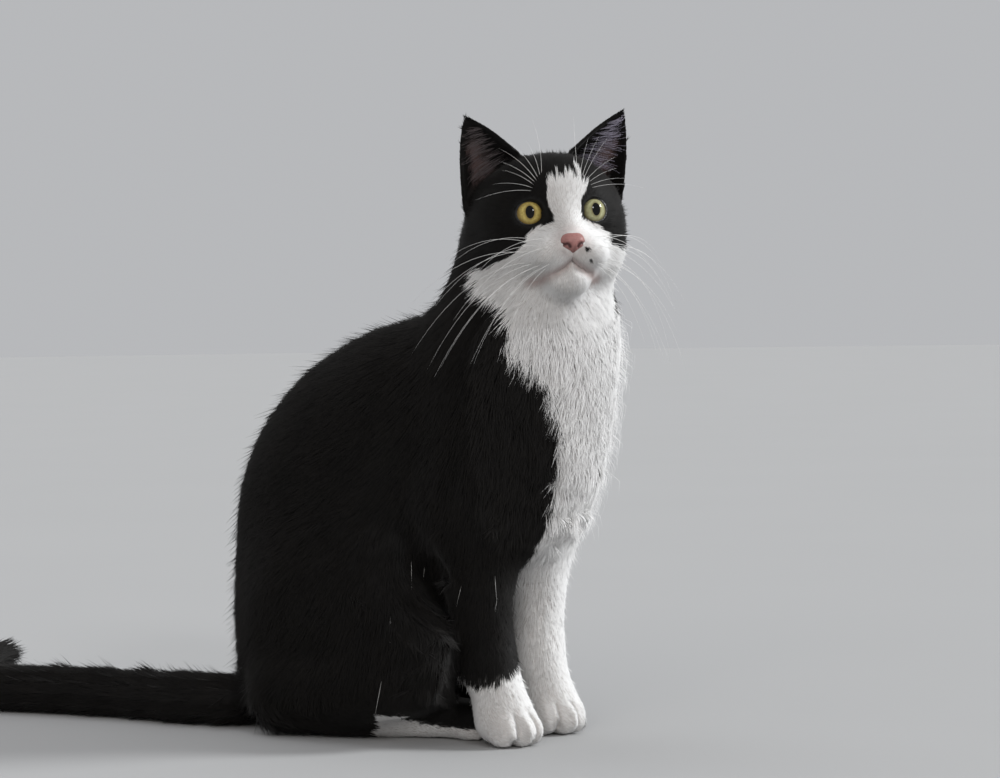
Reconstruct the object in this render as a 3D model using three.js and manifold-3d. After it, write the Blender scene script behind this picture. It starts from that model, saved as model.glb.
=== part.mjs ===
// A seated cat at life size, its head turned to its right and its tail laid out behind it.
//
// Millimetres, +Z up. The cat faces -Y, so its right side is -X. The origin is on the floor, in the
// middle of the flat that the rump sits on.
//
// The flesh is a few soft fields: rounded forms that melt into one another. Each node is a capsule or
// a ball whose vertices are pushed out to its field, and is then parted from its neighbours by cuts
// that leave a thin gap.

import * as THREE from "three";
import { mergeVertices } from "three/addons/utils/BufferGeometryUtils.js";
import Module from "manifold-3d";

const wasm = await Module();
wasm.setup();

const { degToRad: radians, clamp, lerp } = THREE.MathUtils;
const point = (x, y, z) => new THREE.Vector3(x, y, z);

// ---- driving sizes -------------------------------------------------------------------------------

const GAP = 0.3; // between two nodes that touch
const RIGHT = -1;
const LEFT = 1;
const SIDES = [
  ["right", RIGHT],
  ["left", LEFT],
];

// The trunk, from the rump up to the nape: forms on the middle plane, x = 0. Only the ruff is drawn
// aside, under the jaw of the turned head.
const SEAT = { centre: point(0, 12, 26), radii: point(72, 66, 30) };
const RUMP = { centre: point(0, 14, 64), radii: point(68, 78, 66) };
const LOIN = { centre: point(0, 6, 124), radii: point(64, 86, 74) };
const RIBS = { centre: point(0, -20, 163), radii: point(56, 84, 70) };
const WITHERS = { centre: point(0, -60, 194), radii: point(54, 62, 50) };
const BREAST = { centre: point(0, -118, 207), radii: point(50, 52.5, 52) };
const BRISKET = { centre: point(0, -112, 160), radii: point(48, 55, 56) };
const RUFF = { centre: point(16, -125.5, 243), radii: point(37, 34.5, 30) };
const NECK = { from: point(0, -116, 222), to: point(3, -114, 277), radii: [47, 38] };
const SPINE = [
  point(0, 20, 50),
  point(0, 12, 100),
  point(0, -8, 145),
  point(0, -50, 178),
  point(0, -96, 200),
  point(-1, -116, 240),
  point(-3, -126, 285),
];

// The limbs of the left side. The right ones are their mirror image. A limb's radii are those of its
// upper and its lower end.
const THIGH = { centre: point(46, -18, 66), radii: point(31, 62, 56) };
const HIP = point(38, 6, 84);
const KNEE = point(52, -66, 50);
const HAUNCH_RADII = [40, 25];
const KNEE_LEAD = 18; // the right knee is this much further ahead
const SHANK_TOP_HEIGHT = 40;
const HOCK = point(63, 14, 24);
const SHANK_RADII = [24, 22];
const HEEL_HEIGHT = 16;
const HIND_TOES = point(19, -86, 11);
const HIND_FOOT_RADII = [18, 12];
const HIND_PAW = { width: 29, splay: -24 }; // degrees outwards
const SHOULDER = point(31, -114, 182);
const ELBOW = point(30, -100, 136);
const UPPER_ARM_RADII = [28, 25];
const WRIST = point(26, -102, 48);
const FORE_ARM_RADII = [24.5, 15.5];
const PASTERN_HEIGHT = 20;
const PASTERN_RADII = [15.5, 15];
const FORE_PAW_CENTRE = point(26, -112, 13);
const FORE_PAW_RADII = point(16.5, 15.5, 13.5);
const FORE_LEAD = { wrist: 5, paw: 7 }; // the right fore leg is this much further ahead
const FORE_PAW = { width: 36, splay: -4 }; // turned inwards

// The toes: the middle two stand ahead of the outer two.
const TOES = 4; // on each paw
const TOE = { reach: 16.8, setBack: 4, height: 8.9, radii: point(0.57, 9, 9.6) }; // x: share of the pitch

// The head: its centre, and how it is turned from looking along -Y.
const HEAD_CENTRE = point(0, -135, 297);
const HEAD_TURN = 39; // degrees to the cat's right
const HEAD_LIFT = 6; // degrees up
const HEAD_TILT = -2.2; // degrees, the left ear higher

// The face, in the head's own frame: x to the cat's left, -y ahead, z up.
const EYE_RADIUS = 10.5;
const EYE_CENTRE = point(17.2, -26, 1);
const EYE_SPLAY = 12; // degrees that each eye looks outwards
const EYE_OPENING = { width: 15.4, height: 13.4 };
const LID = 1.5; // thickness of the lids
const NOSE_PAD = { centre: point(0, -50.8, -17.2), radii: point(7.3, 5.2, 6) };
const NOSTRIL = { line: [[2.6, -20.5], [4.4, -18.4], [6.6, -19]], width: 1.8, depth: 3.5 };
const PHILTRUM = { line: [[0, -22.5], [0, -25], [0, -28]], width: 1, depth: 1.8 };
const MOUTH = { line: [[0, -27.5], [4.3, -31], [9.9, -34], [15, -36]], width: 1.2, depth: 3 };

// The skull under it. Sided forms are those of the left side.
const CRANIUM = { centre: point(0, 8, 6.5), radii: point(44, 46, 31) };
const FOREHEAD = { centre: point(0, -14, 13), radii: point(30, 25, 22) };
const CHEEK = { centre: point(24.5, -4, -14), radii: point(18.5, 29, 25) };
const JAW = { centre: point(0, -14, -25), radii: point(26, 30, 18) };
const BRIDGE = { from: point(0, -24, 8), to: point(0, -47, -15), radii: [12, 6.8] };
const LIP_PAD = { centre: point(10, -38.5, -23), radii: point(13.2, 15, 11) };
const CHIN = { centre: point(0, -35.5, -38.5), radii: point(12.5, 12.5, 9.5) };

// The ears, in the head's own frame, for the left one.
const EAR_ROOT = point(28, -1, 24);
const EAR_TIP = point(46.2, -12, 60.5);
const EAR_WIDTH = 52; // across the mouth of the cup at the head
const EAR_DEPTH = 19; // from the mouth of the cup to its back
const EAR_THICKNESS = 2.4;
const EAR_LEAN = 0.28; // how far the mouth of the cup faces outwards for each part ahead
const EAR_SUNK = 0.25; // share of its rise that an ear starts below its root
const EAR_ROUNDING = 1.08; // high: the sides stay apart for longer
const EAR_TAPER = 0.72; // low: the tip is blunter

// The tail: its line along the floor, how far it is lifted there, and its thickness with the coat.
const TAIL_LINE = [
  [2, 34],
  [-36, 46],
  [-57, 67],
  [-64, 95],
  [-66, 126],
  [-72, 162],
  [-78, 192],
  [-86, 218],
  [-93, 242],
  [-90, 266],
  [-78, 286],
  [-58, 301, 2],
  [-36, 307, 7],
  [-21, 307, 12],
];
const TAIL_RADII = [16.4, 11.5]; // at its root and its tip
const TAIL_LENGTHS = 4; // nodes
const FLAT_DEPTH = 1.5; // how far a round form that rests on the floor is cut off

// ---- the soft field ------------------------------------------------------------------------------
// A form is a function of a point: negative inside, zero on the skin, positive outside.

const scratch = new THREE.Vector3();

/** An ellipsoid with its own centre, half sizes and turn. */
function ball(centre, radii, turn = new THREE.Euler()) {
  const back = new THREE.Matrix4().makeRotationFromEuler(turn).transpose();
  return (p) => {
    const q = scratch.copy(p).sub(centre).applyMatrix4(back);
    const [x, y, z] = [q.x / radii.x, q.y / radii.y, q.z / radii.z];
    const near = Math.hypot(x, y, z);
    const slope = Math.hypot(x / radii.x, y / radii.y, z / radii.z);
    return slope < 1e-9 ? -Math.min(radii.x, radii.y, radii.z) : (near * (near - 1)) / slope;
  };
}

/** A bone with flesh: a cone with round ends, from a to b. */
function limb(a, b, radiusA, radiusB) {
  const along = b.clone().sub(a);
  const length2 = along.lengthSq();
  const taper = radiusA - radiusB;
  const a2 = length2 - taper * taper;
  return (p) => {
    const pa = scratch.copy(p).sub(a);
    const y = pa.dot(along);
    const z = y - length2;
    const across2 = pa.multiplyScalar(length2).addScaledVector(along, -y).lengthSq();
    const y2 = y * y * length2;
    const z2 = z * z * length2;
    const k = Math.sign(taper) * taper * taper * across2;
    if (Math.sign(z) * a2 * z2 > k) return Math.sqrt(across2 + z2) / length2 - radiusB;
    if (Math.sign(y) * a2 * y2 < k) return Math.sqrt(across2 + y2) / length2 - radiusA;
    return (Math.sqrt(across2 * a2 / length2) + y * taper) / length2 - radiusA;
  };
}

/** Several forms melted together over a fillet of the given width. */
function melt(fillet, forms) {
  return (p) => {
    let near = forms[0](p);
    for (const form of forms.slice(1)) {
      const other = form(p);
      const share = Math.max(fillet - Math.abs(near - other), 0) / fillet;
      near = Math.min(near, other) - (share * share * fillet) / 4;
    }
    return near;
  };
}

/** A field that is stated in a turned frame. */
function placed(form, pose) {
  const back = pose.clone().invert();
  const local = new THREE.Vector3();
  return (p) => form(local.copy(p).applyMatrix4(back).clone());
}

const sided = (p, side) => point(p.x * side, p.y, p.z);

// ---- the flesh -----------------------------------------------------------------------------------

// Widths of the fillets where forms melt together.
const FILLET = {
  trunk: 30,
  limb: 18,
  foreLeg: 24,
  hindLeg: 14,
  foot: 10,
  toes: 1.6,
  nape: 9,
  skull: 14,
  face: 8,
  nose: 2,
  lids: 4,
  tail: 10,
};

const form = ({ centre, radii }) => ball(centre, radii);
const sidedForm = ({ centre, radii }, side) => ball(sided(centre, side), radii);
const cone = ({ from, to, radii }) => limb(from, to, ...radii);

const trunkForms = [SEAT, RUMP, LOIN, RIBS, WITHERS, BREAST, BRISKET, RUFF];
const trunk = melt(FILLET.trunk, [...trunkForms.map(form), cone(NECK)]);

/** The toes of a paw, side by side across its front. */
function toes(paw, { width, splay }, side) {
  const ahead = point(0, -1, 0).applyAxisAngle(point(0, 0, 1), radians(splay * side));
  const across = point(-ahead.y, ahead.x, 0);
  const pitch = width / TOES;
  const radii = TOE.radii.clone().setX(TOE.radii.x * pitch);
  return Array.from({ length: TOES }, (_, i) => {
    const place = i - (TOES - 1) / 2;
    const reach = TOE.reach - TOE.setBack * place * place;
    const centre = paw.clone().addScaledVector(across, place * pitch).addScaledVector(ahead, reach);
    return ball(centre.setZ(TOE.height), radii, new THREE.Euler(0, 0, radians(splay * side)));
  });
}

const led = (p, lead, side) => sided(side === RIGHT ? point(p.x, p.y - lead, p.z) : p, side);
const kneeOf = (side) => led(KNEE, KNEE_LEAD, side);
const wristOf = (side) => led(WRIST, FORE_LEAD.wrist, side);
const forePawOf = (side) => led(FORE_PAW_CENTRE, FORE_LEAD.paw, side);

const thigh = (side) =>
  melt(FILLET.hindLeg, [sidedForm(THIGH, side), limb(sided(HIP, side), kneeOf(side), ...HAUNCH_RADII)]);

/** Shank and the long hind foot of one side. */
const hindFoot = (side) =>
  melt(FILLET.foot, [
    limb(kneeOf(side).setZ(SHANK_TOP_HEIGHT), sided(HOCK, side), ...SHANK_RADII),
    limb(sided(HOCK, side).setZ(HEEL_HEIGHT), sided(HIND_TOES, side), ...HIND_FOOT_RADII),
    melt(FILLET.toes, toes(sided(HIND_TOES, side), HIND_PAW, side)),
  ]);

const upperArm = (side) => limb(sided(SHOULDER, side), sided(ELBOW, side), ...UPPER_ARM_RADII);

/** Forearm, wrist and paw of one side. */
const foreArm = (side) =>
  melt(FILLET.foot / 2, [
    melt(FILLET.foot, [
      limb(sided(ELBOW, side), wristOf(side), ...FORE_ARM_RADII),
      limb(wristOf(side), forePawOf(side).setZ(PASTERN_HEIGHT), ...PASTERN_RADII),
      ball(forePawOf(side), FORE_PAW_RADII),
    ]),
    melt(FILLET.toes, toes(forePawOf(side), FORE_PAW, side)),
  ]);

const headPose = new THREE.Matrix4().compose(
  HEAD_CENTRE,
  new THREE.Quaternion()
    .setFromAxisAngle(point(0, 0, 1), radians(-HEAD_TURN))
    .multiply(new THREE.Quaternion().setFromAxisAngle(point(1, 0, 0), radians(-HEAD_LIFT)))
    .multiply(new THREE.Quaternion().setFromAxisAngle(point(0, 1, 0), radians(HEAD_TILT))),
  point(1, 1, 1),
);

const bothSides = (make) => [make(RIGHT), make(LEFT)];

const cheeks = bothSides((side) => sidedForm(CHEEK, side));
const lipPads = bothSides((side) => sidedForm(LIP_PAD, side));
const skull = melt(FILLET.skull, [form(CRANIUM), form(FOREHEAD), ...cheeks, form(JAW)]);
const noseless = melt(FILLET.face, [skull, cone(BRIDGE), ...lipPads, form(CHIN)]);
const muzzle = melt(FILLET.nose, [noseless, form(NOSE_PAD)]);
const lidRadii = point(1, 1, 1).multiplyScalar(EYE_RADIUS + LID);
const lids = bothSides((side) => ball(sided(EYE_CENTRE, side), lidRadii));
const face = melt(FILLET.lids, [muzzle, ...lids]);

const head = placed(face, headPose);
const headField = melt(FILLET.nape, [trunk, head]);
const foreBody = melt(FILLET.limb, [headField, ...bothSides(upperArm)]);
const bareBody = melt(FILLET.limb, [foreBody, ...bothSides(thigh)]);
const torsoField = melt(FILLET.foreLeg, [bareBody, ...bothSides(foreArm)]);
const hindField = (side) => melt(FILLET.hindLeg, [melt(FILLET.limb, [trunk, thigh(side)]), hindFoot(side)]);
const foreField = (side) => melt(FILLET.foreLeg, [foreBody, foreArm(side)]);

// ---- from field to solid -------------------------------------------------------------------------

const SHORTEST_STEP = 0.5; // of a ray on its way out
const STEP_SHARE = 0.6; // of the depth that is left
const HALVINGS = 14; // of the last step

/** How far a ray runs from inside a field to its skin, or to its reach if that is nearer. */
function castOut(field, origin, direction, reach, level) {
  const probe = new THREE.Vector3();
  const depth = (t) => level - field(probe.copy(direction).multiplyScalar(t).add(origin));
  let inside = 0;
  let outside = 0;
  for (let t = 0; outside === 0; ) {
    if (t >= reach) return reach;
    const left = depth(t);
    if (left > 0) {
      inside = t;
      t += Math.max(SHORTEST_STEP, STEP_SHARE * left);
    } else outside = Math.max(t, 1e-6);
  }
  for (let i = 0; i < HALVINGS; i++) {
    const middle = (inside + outside) / 2;
    if (depth(middle) > 0) inside = middle;
    else outside = middle;
  }
  return inside;
}

/** A capsule bent along a curve, each vertex pushed out along its own ray to the field. */
function wrapped(field, curve, { around, along, caps = 6, reach, level = 0, side = point(1, 0, 0) }) {
  const geometry = new THREE.CapsuleGeometry(1, 1, caps, around, along);
  const position = geometry.attributes.position;
  const vertex = new THREE.Vector3();
  for (let i = 0; i < position.count; i++) {
    vertex.fromBufferAttribute(position, i);
    const height = clamp(vertex.y, -0.5, 0.5);
    const origin = curve.getPoint(height + 0.5);
    const tangent = curve.getTangent(height + 0.5);
    const across = side.clone().addScaledVector(tangent, -side.dot(tangent)).normalize();
    const normal = across.clone().cross(tangent);
    const direction = across
      .multiplyScalar(vertex.x)
      .addScaledVector(tangent, vertex.y - height)
      .addScaledVector(normal, vertex.z)
      .normalize();
    vertex.copy(origin).addScaledVector(direction, castOut(field, origin, direction, reach, level));
    position.setXYZ(i, vertex.x, vertex.y, vertex.z);
  }
  return geometry;
}

/** A closed geometry as a solid that can be joined and cut. */
function solid(geometry) {
  const bare = new THREE.BufferGeometry().setAttribute("position", geometry.attributes.position);
  bare.setIndex(geometry.index);
  const merged = mergeVertices(bare, 1e-4);
  const vertProperties = merged.attributes.position.array;
  const made = new wasm.Manifold(
    new wasm.Mesh({ numProp: 3, vertProperties, triVerts: new Uint32Array(merged.index.array) }),
  );
  if (made.volume() > 0) return made;
  const turned = new Uint32Array(merged.index.array).reverse();
  return new wasm.Manifold(new wasm.Mesh({ numProp: 3, vertProperties, triVerts: turned }));
}

const path = (...points) => new THREE.CatmullRomCurve3(points);

/** A box from one corner to the other. */
function block(low, high) {
  const size = high.clone().sub(low);
  const box = new THREE.BoxGeometry(size.x, size.y, size.z);
  return solid(box.translate(...low.clone().add(high).divideScalar(2).toArray()));
}

const UP = point(0, 0, 1);
const FAR = 700; // past all of the cat

/** All on the far side of a plane. */
function beyond(origin, normal) {
  const box = new THREE.BoxGeometry(2 * FAR, 2 * FAR, FAR).translate(0, 0, FAR / 2);
  box.applyQuaternion(new THREE.Quaternion().setFromUnitVectors(UP, normal.clone().normalize()));
  return solid(box.translate(origin.x, origin.y, origin.z));
}

/** The largest closed surface of a solid. */
function largest(made) {
  const pieces = made.decompose();
  pieces.sort((a, b) => b.volume() - a.volume());
  return pieces[0];
}

const parts = new THREE.Group();

/** One node: the largest closed surface of what was made, in one colour. */
function add(name, made, colour, roughness = 0.9) {
  const mesh = largest(made).getMesh();
  const geometry = new THREE.BufferGeometry()
    .setAttribute("position", new THREE.BufferAttribute(mesh.vertProperties, 3))
    .setIndex(new THREE.BufferAttribute(mesh.triVerts, 1));
  const material = new THREE.MeshStandardMaterial({ color: colour, roughness });
  const node = new THREE.Mesh(geometry, material);
  node.name = name;
  parts.add(node);
}

const BLACK = 0x17161a;
const WHITE = 0xe9e6e2;
const IRIS = 0xc2b45a;

// ---- the cuts between the nodes ------------------------------------------------------------------

const floor = block(point(-400, -400, -60), point(400, 500, 0));

const NECK_CUT = { origin: point(0, -100, 228), normal: point(0, -0.25, 1) };
const HEAD_CUT = { origin: point(4, -128, 264), normal: point(-0.2, -0.5, 1) };

/** A cut's far side, moved along its normal. */
function across({ origin, normal }, move) {
  return beyond(origin.clone().addScaledVector(normal.clone().normalize(), move), normal);
}

const FORE_ROOM = { low: point(GAP / 2, -190, -20), high: point(75, -80, 128) };
const THIGH_ROOM = { centre: point(58, -34, 52), radii: point(38, 84, 80), around: 24, rows: 14 };
const FOOT_ROOM = { size: point(60, 170, 50), aside: 14.5, height: 2 };
const ELBOW_CLEAR = 95; // above this the thigh's room takes the elbow's

/** The room that a fore leg takes, grown by the gap where it is cut out of the torso. */
function foreRoom(side, grow) {
  const low = FORE_ROOM.low.clone().addScalar(-grow);
  const high = FORE_ROOM.high.clone().addScalar(grow);
  return side > 0 ? block(low, high) : block(point(-high.x, low.y, low.z), point(-low.x, high.y, high.z));
}

/** The room that a hind leg takes: a flat ball round the thigh, and a box along the foot. */
function hindRoom(side, grow) {
  const { centre, radii, around, rows } = THIGH_ROOM;
  const round = new THREE.SphereGeometry(1, around, rows).rotateZ(Math.PI / 2);
  round.scale(radii.x + grow, radii.y + grow, radii.z + grow);
  round.translate(centre.x * side, centre.y, centre.z);
  const toe = sided(HIND_TOES, side);
  const heel = sided(HOCK, side).setZ(toe.z);
  const size = FOOT_ROOM.size.clone().addScalar(2 * grow);
  const along = new THREE.BoxGeometry(size.x, size.y, size.z);
  along.translate(FOOT_ROOM.aside * side, 0, FOOT_ROOM.height);
  along.rotateZ(-Math.atan2(heel.x - toe.x, heel.y - toe.y));
  along.translate((heel.x + toe.x) / 2, (heel.y + toe.y) / 2, 0);
  return solid(round).add(solid(along));
}

// ---- the nodes -----------------------------------------------------------------------------------

const BODY_MESH = { around: 32, along: 26, caps: 6, reach: 100 };
const FORE_MESH = { around: 24, along: 14, caps: 9, reach: 60 };
const HIND_MESH = { around: 24, along: 14, caps: 7, reach: 100 };
const TAIL_MESH = { around: 12, along: 40, caps: 4, reach: 30, side: UP };

const spine = path(...SPINE);
const body = solid(wrapped(torsoField, spine, BODY_MESH)).subtract(floor);

let torso = body.subtract(across(NECK_CUT, -GAP / 2));
for (const [, side] of SIDES) {
  torso = torso.subtract(foreRoom(side, GAP)).subtract(hindRoom(side, GAP));
}
add("torso", torso, BLACK);
add("neck", body.intersect(across(NECK_CUT, GAP / 2)).subtract(across(HEAD_CUT, -GAP / 2)), WHITE);

// The lines inside a fore leg and a hind leg that their skins are cast out from.
const foreColumn = (side) =>
  path(
    sided(ELBOW, side).setZ(140),
    sided(point(28, -103, 90), side),
    wristOf(side),
    forePawOf(side).setZ(15),
  );
const hindColumn = (side) =>
  path(
    sided(point(46, 2, 66), side),
    sided(point(50, -34, 46), side),
    sided(point(38, -56, 24), side),
    sided(HIND_TOES, side),
  );

for (const [name, side] of SIDES) {
  const leg = solid(wrapped(foreField(side), foreColumn(side), FORE_MESH));
  const elbowRoom = hindRoom(side, GAP).intersect(beyond(point(0, 0, ELBOW_CLEAR), UP));
  const cut = leg.intersect(foreRoom(side, 0)).subtract(floor).subtract(elbowRoom);
  add(`fore_leg_${name}`, cut, side === RIGHT ? BLACK : WHITE);
}

for (const [name, side] of SIDES) {
  const leg = solid(wrapped(hindField(side), hindColumn(side), HIND_MESH));
  const foreLeg = solid(wrapped(foreArm(side), foreColumn(side), { ...FORE_MESH, level: 4 * GAP }));
  add(`hind_leg_${name}`, leg.intersect(hindRoom(side, 0)).subtract(floor).subtract(foreLeg), BLACK);
}

// ---- the head ------------------------------------------------------------------------------------

const FACE_MESH = { around: 56, rows: 40, reach: 75 };
const FACE_CROWDING = 1.5; // rows lie closer towards the nose
const HEAD_MIDDLE = point(0, -4, -6); // in the head's frame
const GROOVE_RISE = 3; // how far a groove's cutter stands out of the skin
const GROOVE_STEPS = 3; // to each point of its line

/** A ball with its pole at the nose, its rows crowded there, pushed out to a field. */
function wrappedHead(field, level) {
  const ballGeometry = new THREE.SphereGeometry(1, FACE_MESH.around, FACE_MESH.rows);
  const position = ballGeometry.attributes.position;
  const vertex = new THREE.Vector3();
  const centre = HEAD_MIDDLE.clone().applyMatrix4(headPose);
  for (let i = 0; i < position.count; i++) {
    vertex.fromBufferAttribute(position, i);
    const share = Math.acos(clamp(vertex.y, -1, 1)) / Math.PI;
    const angle = Math.PI * Math.pow(share, FACE_CROWDING);
    const ring = Math.hypot(vertex.x, vertex.z) || 1;
    const direction = point(
      (vertex.x / ring) * Math.sin(angle),
      -Math.cos(angle),
      (-vertex.z / ring) * Math.sin(angle),
    ).transformDirection(headPose);
    const reached = castOut(field, centre, direction, FACE_MESH.reach, level);
    vertex.copy(centre).addScaledVector(direction, reached);
    position.setXYZ(i, vertex.x, vertex.y, vertex.z);
  }
  return ballGeometry;
}

/** A closed loft through rings of points, each ring the same length, with a cap at both ends. */
function loft(rings) {
  const count = rings[0].length;
  const vertices = rings.flat();
  const faces = [];
  for (let row = 0; row + 1 < rings.length; row++) {
    for (let i = 0; i < count; i++) {
      const [a, b] = [row * count + i, row * count + ((i + 1) % count)];
      faces.push(a, b, b + count, a, b + count, a + count);
    }
  }
  const middle = (ring) => ring.reduce((sum, p) => sum.add(p), point(0, 0, 0)).divideScalar(count);
  const start = vertices.push(middle(rings[0])) - 1;
  const end = vertices.push(middle(rings.at(-1))) - 1;
  const last = (rings.length - 1) * count;
  for (let i = 0; i < count; i++) {
    faces.push(start, (i + 1) % count, i, end, last + i, last + ((i + 1) % count));
  }
  const geometry = new THREE.BufferGeometry().setFromPoints(vertices);
  return geometry.setIndex(faces);
}

/** A wedge cut along a line on the front of the face, given by its x and z in the head's frame. */
function groove({ line, width, depth }, side) {
  const curve = path(...line.map(([x, z]) => point(x * side, 0, z)));
  const steps = GROOVE_STEPS * line.length;
  const ahead = point(0, -1, 0);
  const rings = Array.from({ length: steps + 1 }, (_, i) => {
    const at = curve.getPoint(i / steps);
    const tangent = curve.getTangent(i / steps);
    const out = point(-tangent.z, 0, tangent.x).normalize();
    const surface = castOut(muzzle, at, ahead, 80, 0);
    const mark = (forward, sideways) => {
      const moved = at.clone().addScaledVector(ahead, surface + forward);
      return moved.addScaledVector(out, sideways).applyMatrix4(headPose);
    };
    const flare = 1 + GROOVE_RISE / depth;
    const half = (width / 2) * flare;
    return [mark(GROOVE_RISE, half), mark(GROOVE_RISE, -half), mark(-depth, 0)];
  });
  return solid(loft(rings));
}

const EAR_MESH = { rows: 12, across: 9 };
const EAR_TIP_SHARE = 0.012; // of the ear's width, left at its tip
const EAR_FLATTENING = 1.2; // high: the cup is shallower towards the tip
const EAR_EDGE = 0.4; // the least half width of a ring

/** An ear: a thin cup that opens ahead, from a root sunk in the head up to its rounded tip. */
function ear(side) {
  const rise = sided(EAR_TIP, side).sub(sided(EAR_ROOT, side));
  const start = sided(EAR_ROOT, side).addScaledVector(rise, -EAR_SUNK);
  const up = rise.clone().normalize();
  const back = point(-EAR_LEAN * side, 1, 0);
  back.addScaledVector(up, -back.dot(up)).normalize();
  const wide = back.clone().cross(up).normalize();
  const rings = Array.from({ length: EAR_MESH.rows + 1 }, (_, row) => {
    const share = row / EAR_MESH.rows;
    const left = Math.max(1 - Math.pow(share, EAR_ROUNDING), EAR_TIP_SHARE);
    const narrowing = Math.pow(left, EAR_TAPER);
    const centre = start.clone().addScaledVector(rise, (1 + EAR_SUNK) * share);
    const arc = (grow) =>
      Array.from({ length: EAR_MESH.across + 1 }, (_, i) => {
        const angle = Math.PI * (i / EAR_MESH.across);
        const halfWidth = Math.max((EAR_WIDTH / 2) * narrowing + grow, EAR_EDGE);
        const depth = Math.max(EAR_DEPTH * Math.pow(narrowing, EAR_FLATTENING) + grow, EAR_EDGE);
        const edge = centre.clone().addScaledVector(wide, -Math.cos(angle) * halfWidth);
        return edge.addScaledVector(back, Math.sin(angle) * depth);
      });
    return [...arc(0), ...arc(-EAR_THICKNESS).reverse()].map((p) => p.applyMatrix4(headPose));
  });
  return solid(loft(rings));
}

/** The frame of one eye: its centre, and its -y along the line of sight. */
function eyeFrame(side) {
  const turn = new THREE.Matrix4().makeRotationZ(radians(EYE_SPLAY * side));
  return headPose.clone().multiply(new THREE.Matrix4().setPosition(sided(EYE_CENTRE, side))).multiply(turn);
}

const EYE_MESH = { around: 16, rows: 11 };
const OPENING_MESH = { around: 20, length: 20, from: 0.45 }; // of the eye's radius

function eyeBall(side, radius) {
  const sphere = new THREE.SphereGeometry(radius, EYE_MESH.around, EYE_MESH.rows);
  return solid(sphere.applyMatrix4(eyeFrame(side)));
}

/** The opening between the lids: an oval tube along the line of sight. */
function opening(side) {
  const { around, length, from } = OPENING_MESH;
  const tube = new THREE.CylinderGeometry(0.5, 0.5, length, around);
  tube.translate(0, -length / 2 - EYE_RADIUS * from, 0);
  tube.scale(EYE_OPENING.width, 1, EYE_OPENING.height);
  return solid(tube.applyMatrix4(eyeFrame(side)));
}

const headGrown = solid(wrappedHead(headField, GAP));
let headSolid = solid(wrappedHead(headField, 0)).intersect(across(HEAD_CUT, GAP / 2));
headSolid = headSolid.subtract(groove(PHILTRUM, LEFT));
for (const [name, side] of SIDES) {
  headSolid = headSolid.subtract(eyeBall(side, EYE_RADIUS + GAP)).subtract(opening(side));
  headSolid = headSolid.subtract(groove(NOSTRIL, side)).subtract(groove(MOUTH, side));
  add(`eye_${name}`, eyeBall(side, EYE_RADIUS), IRIS, 0.1);
  add(`ear_${name}`, ear(side).subtract(headGrown), BLACK);
}
add("head", headSolid, BLACK);

// ---- the tail ------------------------------------------------------------------------------------

const tailPoints = TAIL_LINE.map(([x, y, lift = 0], i) => {
  const share = i / (TAIL_LINE.length - 1);
  const radius = lerp(...TAIL_RADII, share * share);
  return { at: point(x, y, radius - FLAT_DEPTH + lift), radius };
});
const tailBones = tailPoints.slice(1).map((to, i) => {
  const from = tailPoints[i];
  return limb(from.at, to.at, from.radius, to.radius);
});
const tailField = melt(FILLET.tail, tailBones);
const tailCurve = path(...tailPoints.map(({ at }) => at));
const bodyGrown = solid(wrapped(torsoField, spine, { ...BODY_MESH, level: 2 * GAP }));
const thighGrown = solid(wrapped(hindField(RIGHT), hindColumn(RIGHT), { ...HIND_MESH, level: 2 * GAP }));
const wholeTail = solid(wrapped(tailField, tailCurve, TAIL_MESH));
const tail = wholeTail.subtract(floor).subtract(bodyGrown).subtract(thighGrown);
for (let i = 0; i < TAIL_LENGTHS; i++) {
  const cut = (share, move) => {
    const plane = { origin: tailCurve.getPointAt(share), normal: tailCurve.getTangentAt(share) };
    return across(plane, move);
  };
  let length = tail;
  if (i > 0) length = length.intersect(cut(i / TAIL_LENGTHS, GAP / 2));
  if (i + 1 < TAIL_LENGTHS) length = length.subtract(cut((i + 1) / TAIL_LENGTHS, -GAP / 2));
  add(`tail_${i + 1}`, length, BLACK);
}

export default parts;
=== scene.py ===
"""A seated black-and-white cat: skin, coat, eyes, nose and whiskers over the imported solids.

Everything is in metres in the solids' own frame. The cat faces -Y, its right side is -X, and the
origin is on the floor under its rump.
"""

import logging
import math
from dataclasses import dataclass, field
from enum import Enum

import bmesh
import bpy
import numpy as np
from mathutils import Matrix, Vector
from mathutils.bvhtree import BVHTree
from mathutils.kdtree import KDTree


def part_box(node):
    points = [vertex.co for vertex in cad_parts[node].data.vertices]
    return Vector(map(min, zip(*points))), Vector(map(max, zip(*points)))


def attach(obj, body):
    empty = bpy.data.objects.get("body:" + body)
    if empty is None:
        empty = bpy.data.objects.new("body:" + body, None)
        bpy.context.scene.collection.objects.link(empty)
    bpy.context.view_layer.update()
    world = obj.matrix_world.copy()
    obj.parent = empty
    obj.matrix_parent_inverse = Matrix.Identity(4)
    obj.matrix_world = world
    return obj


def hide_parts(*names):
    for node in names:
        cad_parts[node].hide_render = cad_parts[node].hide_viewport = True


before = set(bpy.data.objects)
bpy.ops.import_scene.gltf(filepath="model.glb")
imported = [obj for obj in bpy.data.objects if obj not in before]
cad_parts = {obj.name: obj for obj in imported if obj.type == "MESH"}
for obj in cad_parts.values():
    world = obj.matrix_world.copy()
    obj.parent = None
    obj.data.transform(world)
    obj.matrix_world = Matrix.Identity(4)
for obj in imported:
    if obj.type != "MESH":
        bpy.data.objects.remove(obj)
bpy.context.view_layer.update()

LOG = logging.getLogger("cat")
MM = 0.001
SEED = 7
ROOT = "root"


class Slot(Enum):
    """The finishes that the record names."""

    BLACK = "black_coat"
    WHITE = "white_coat"
    EYE = "eye"


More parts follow.
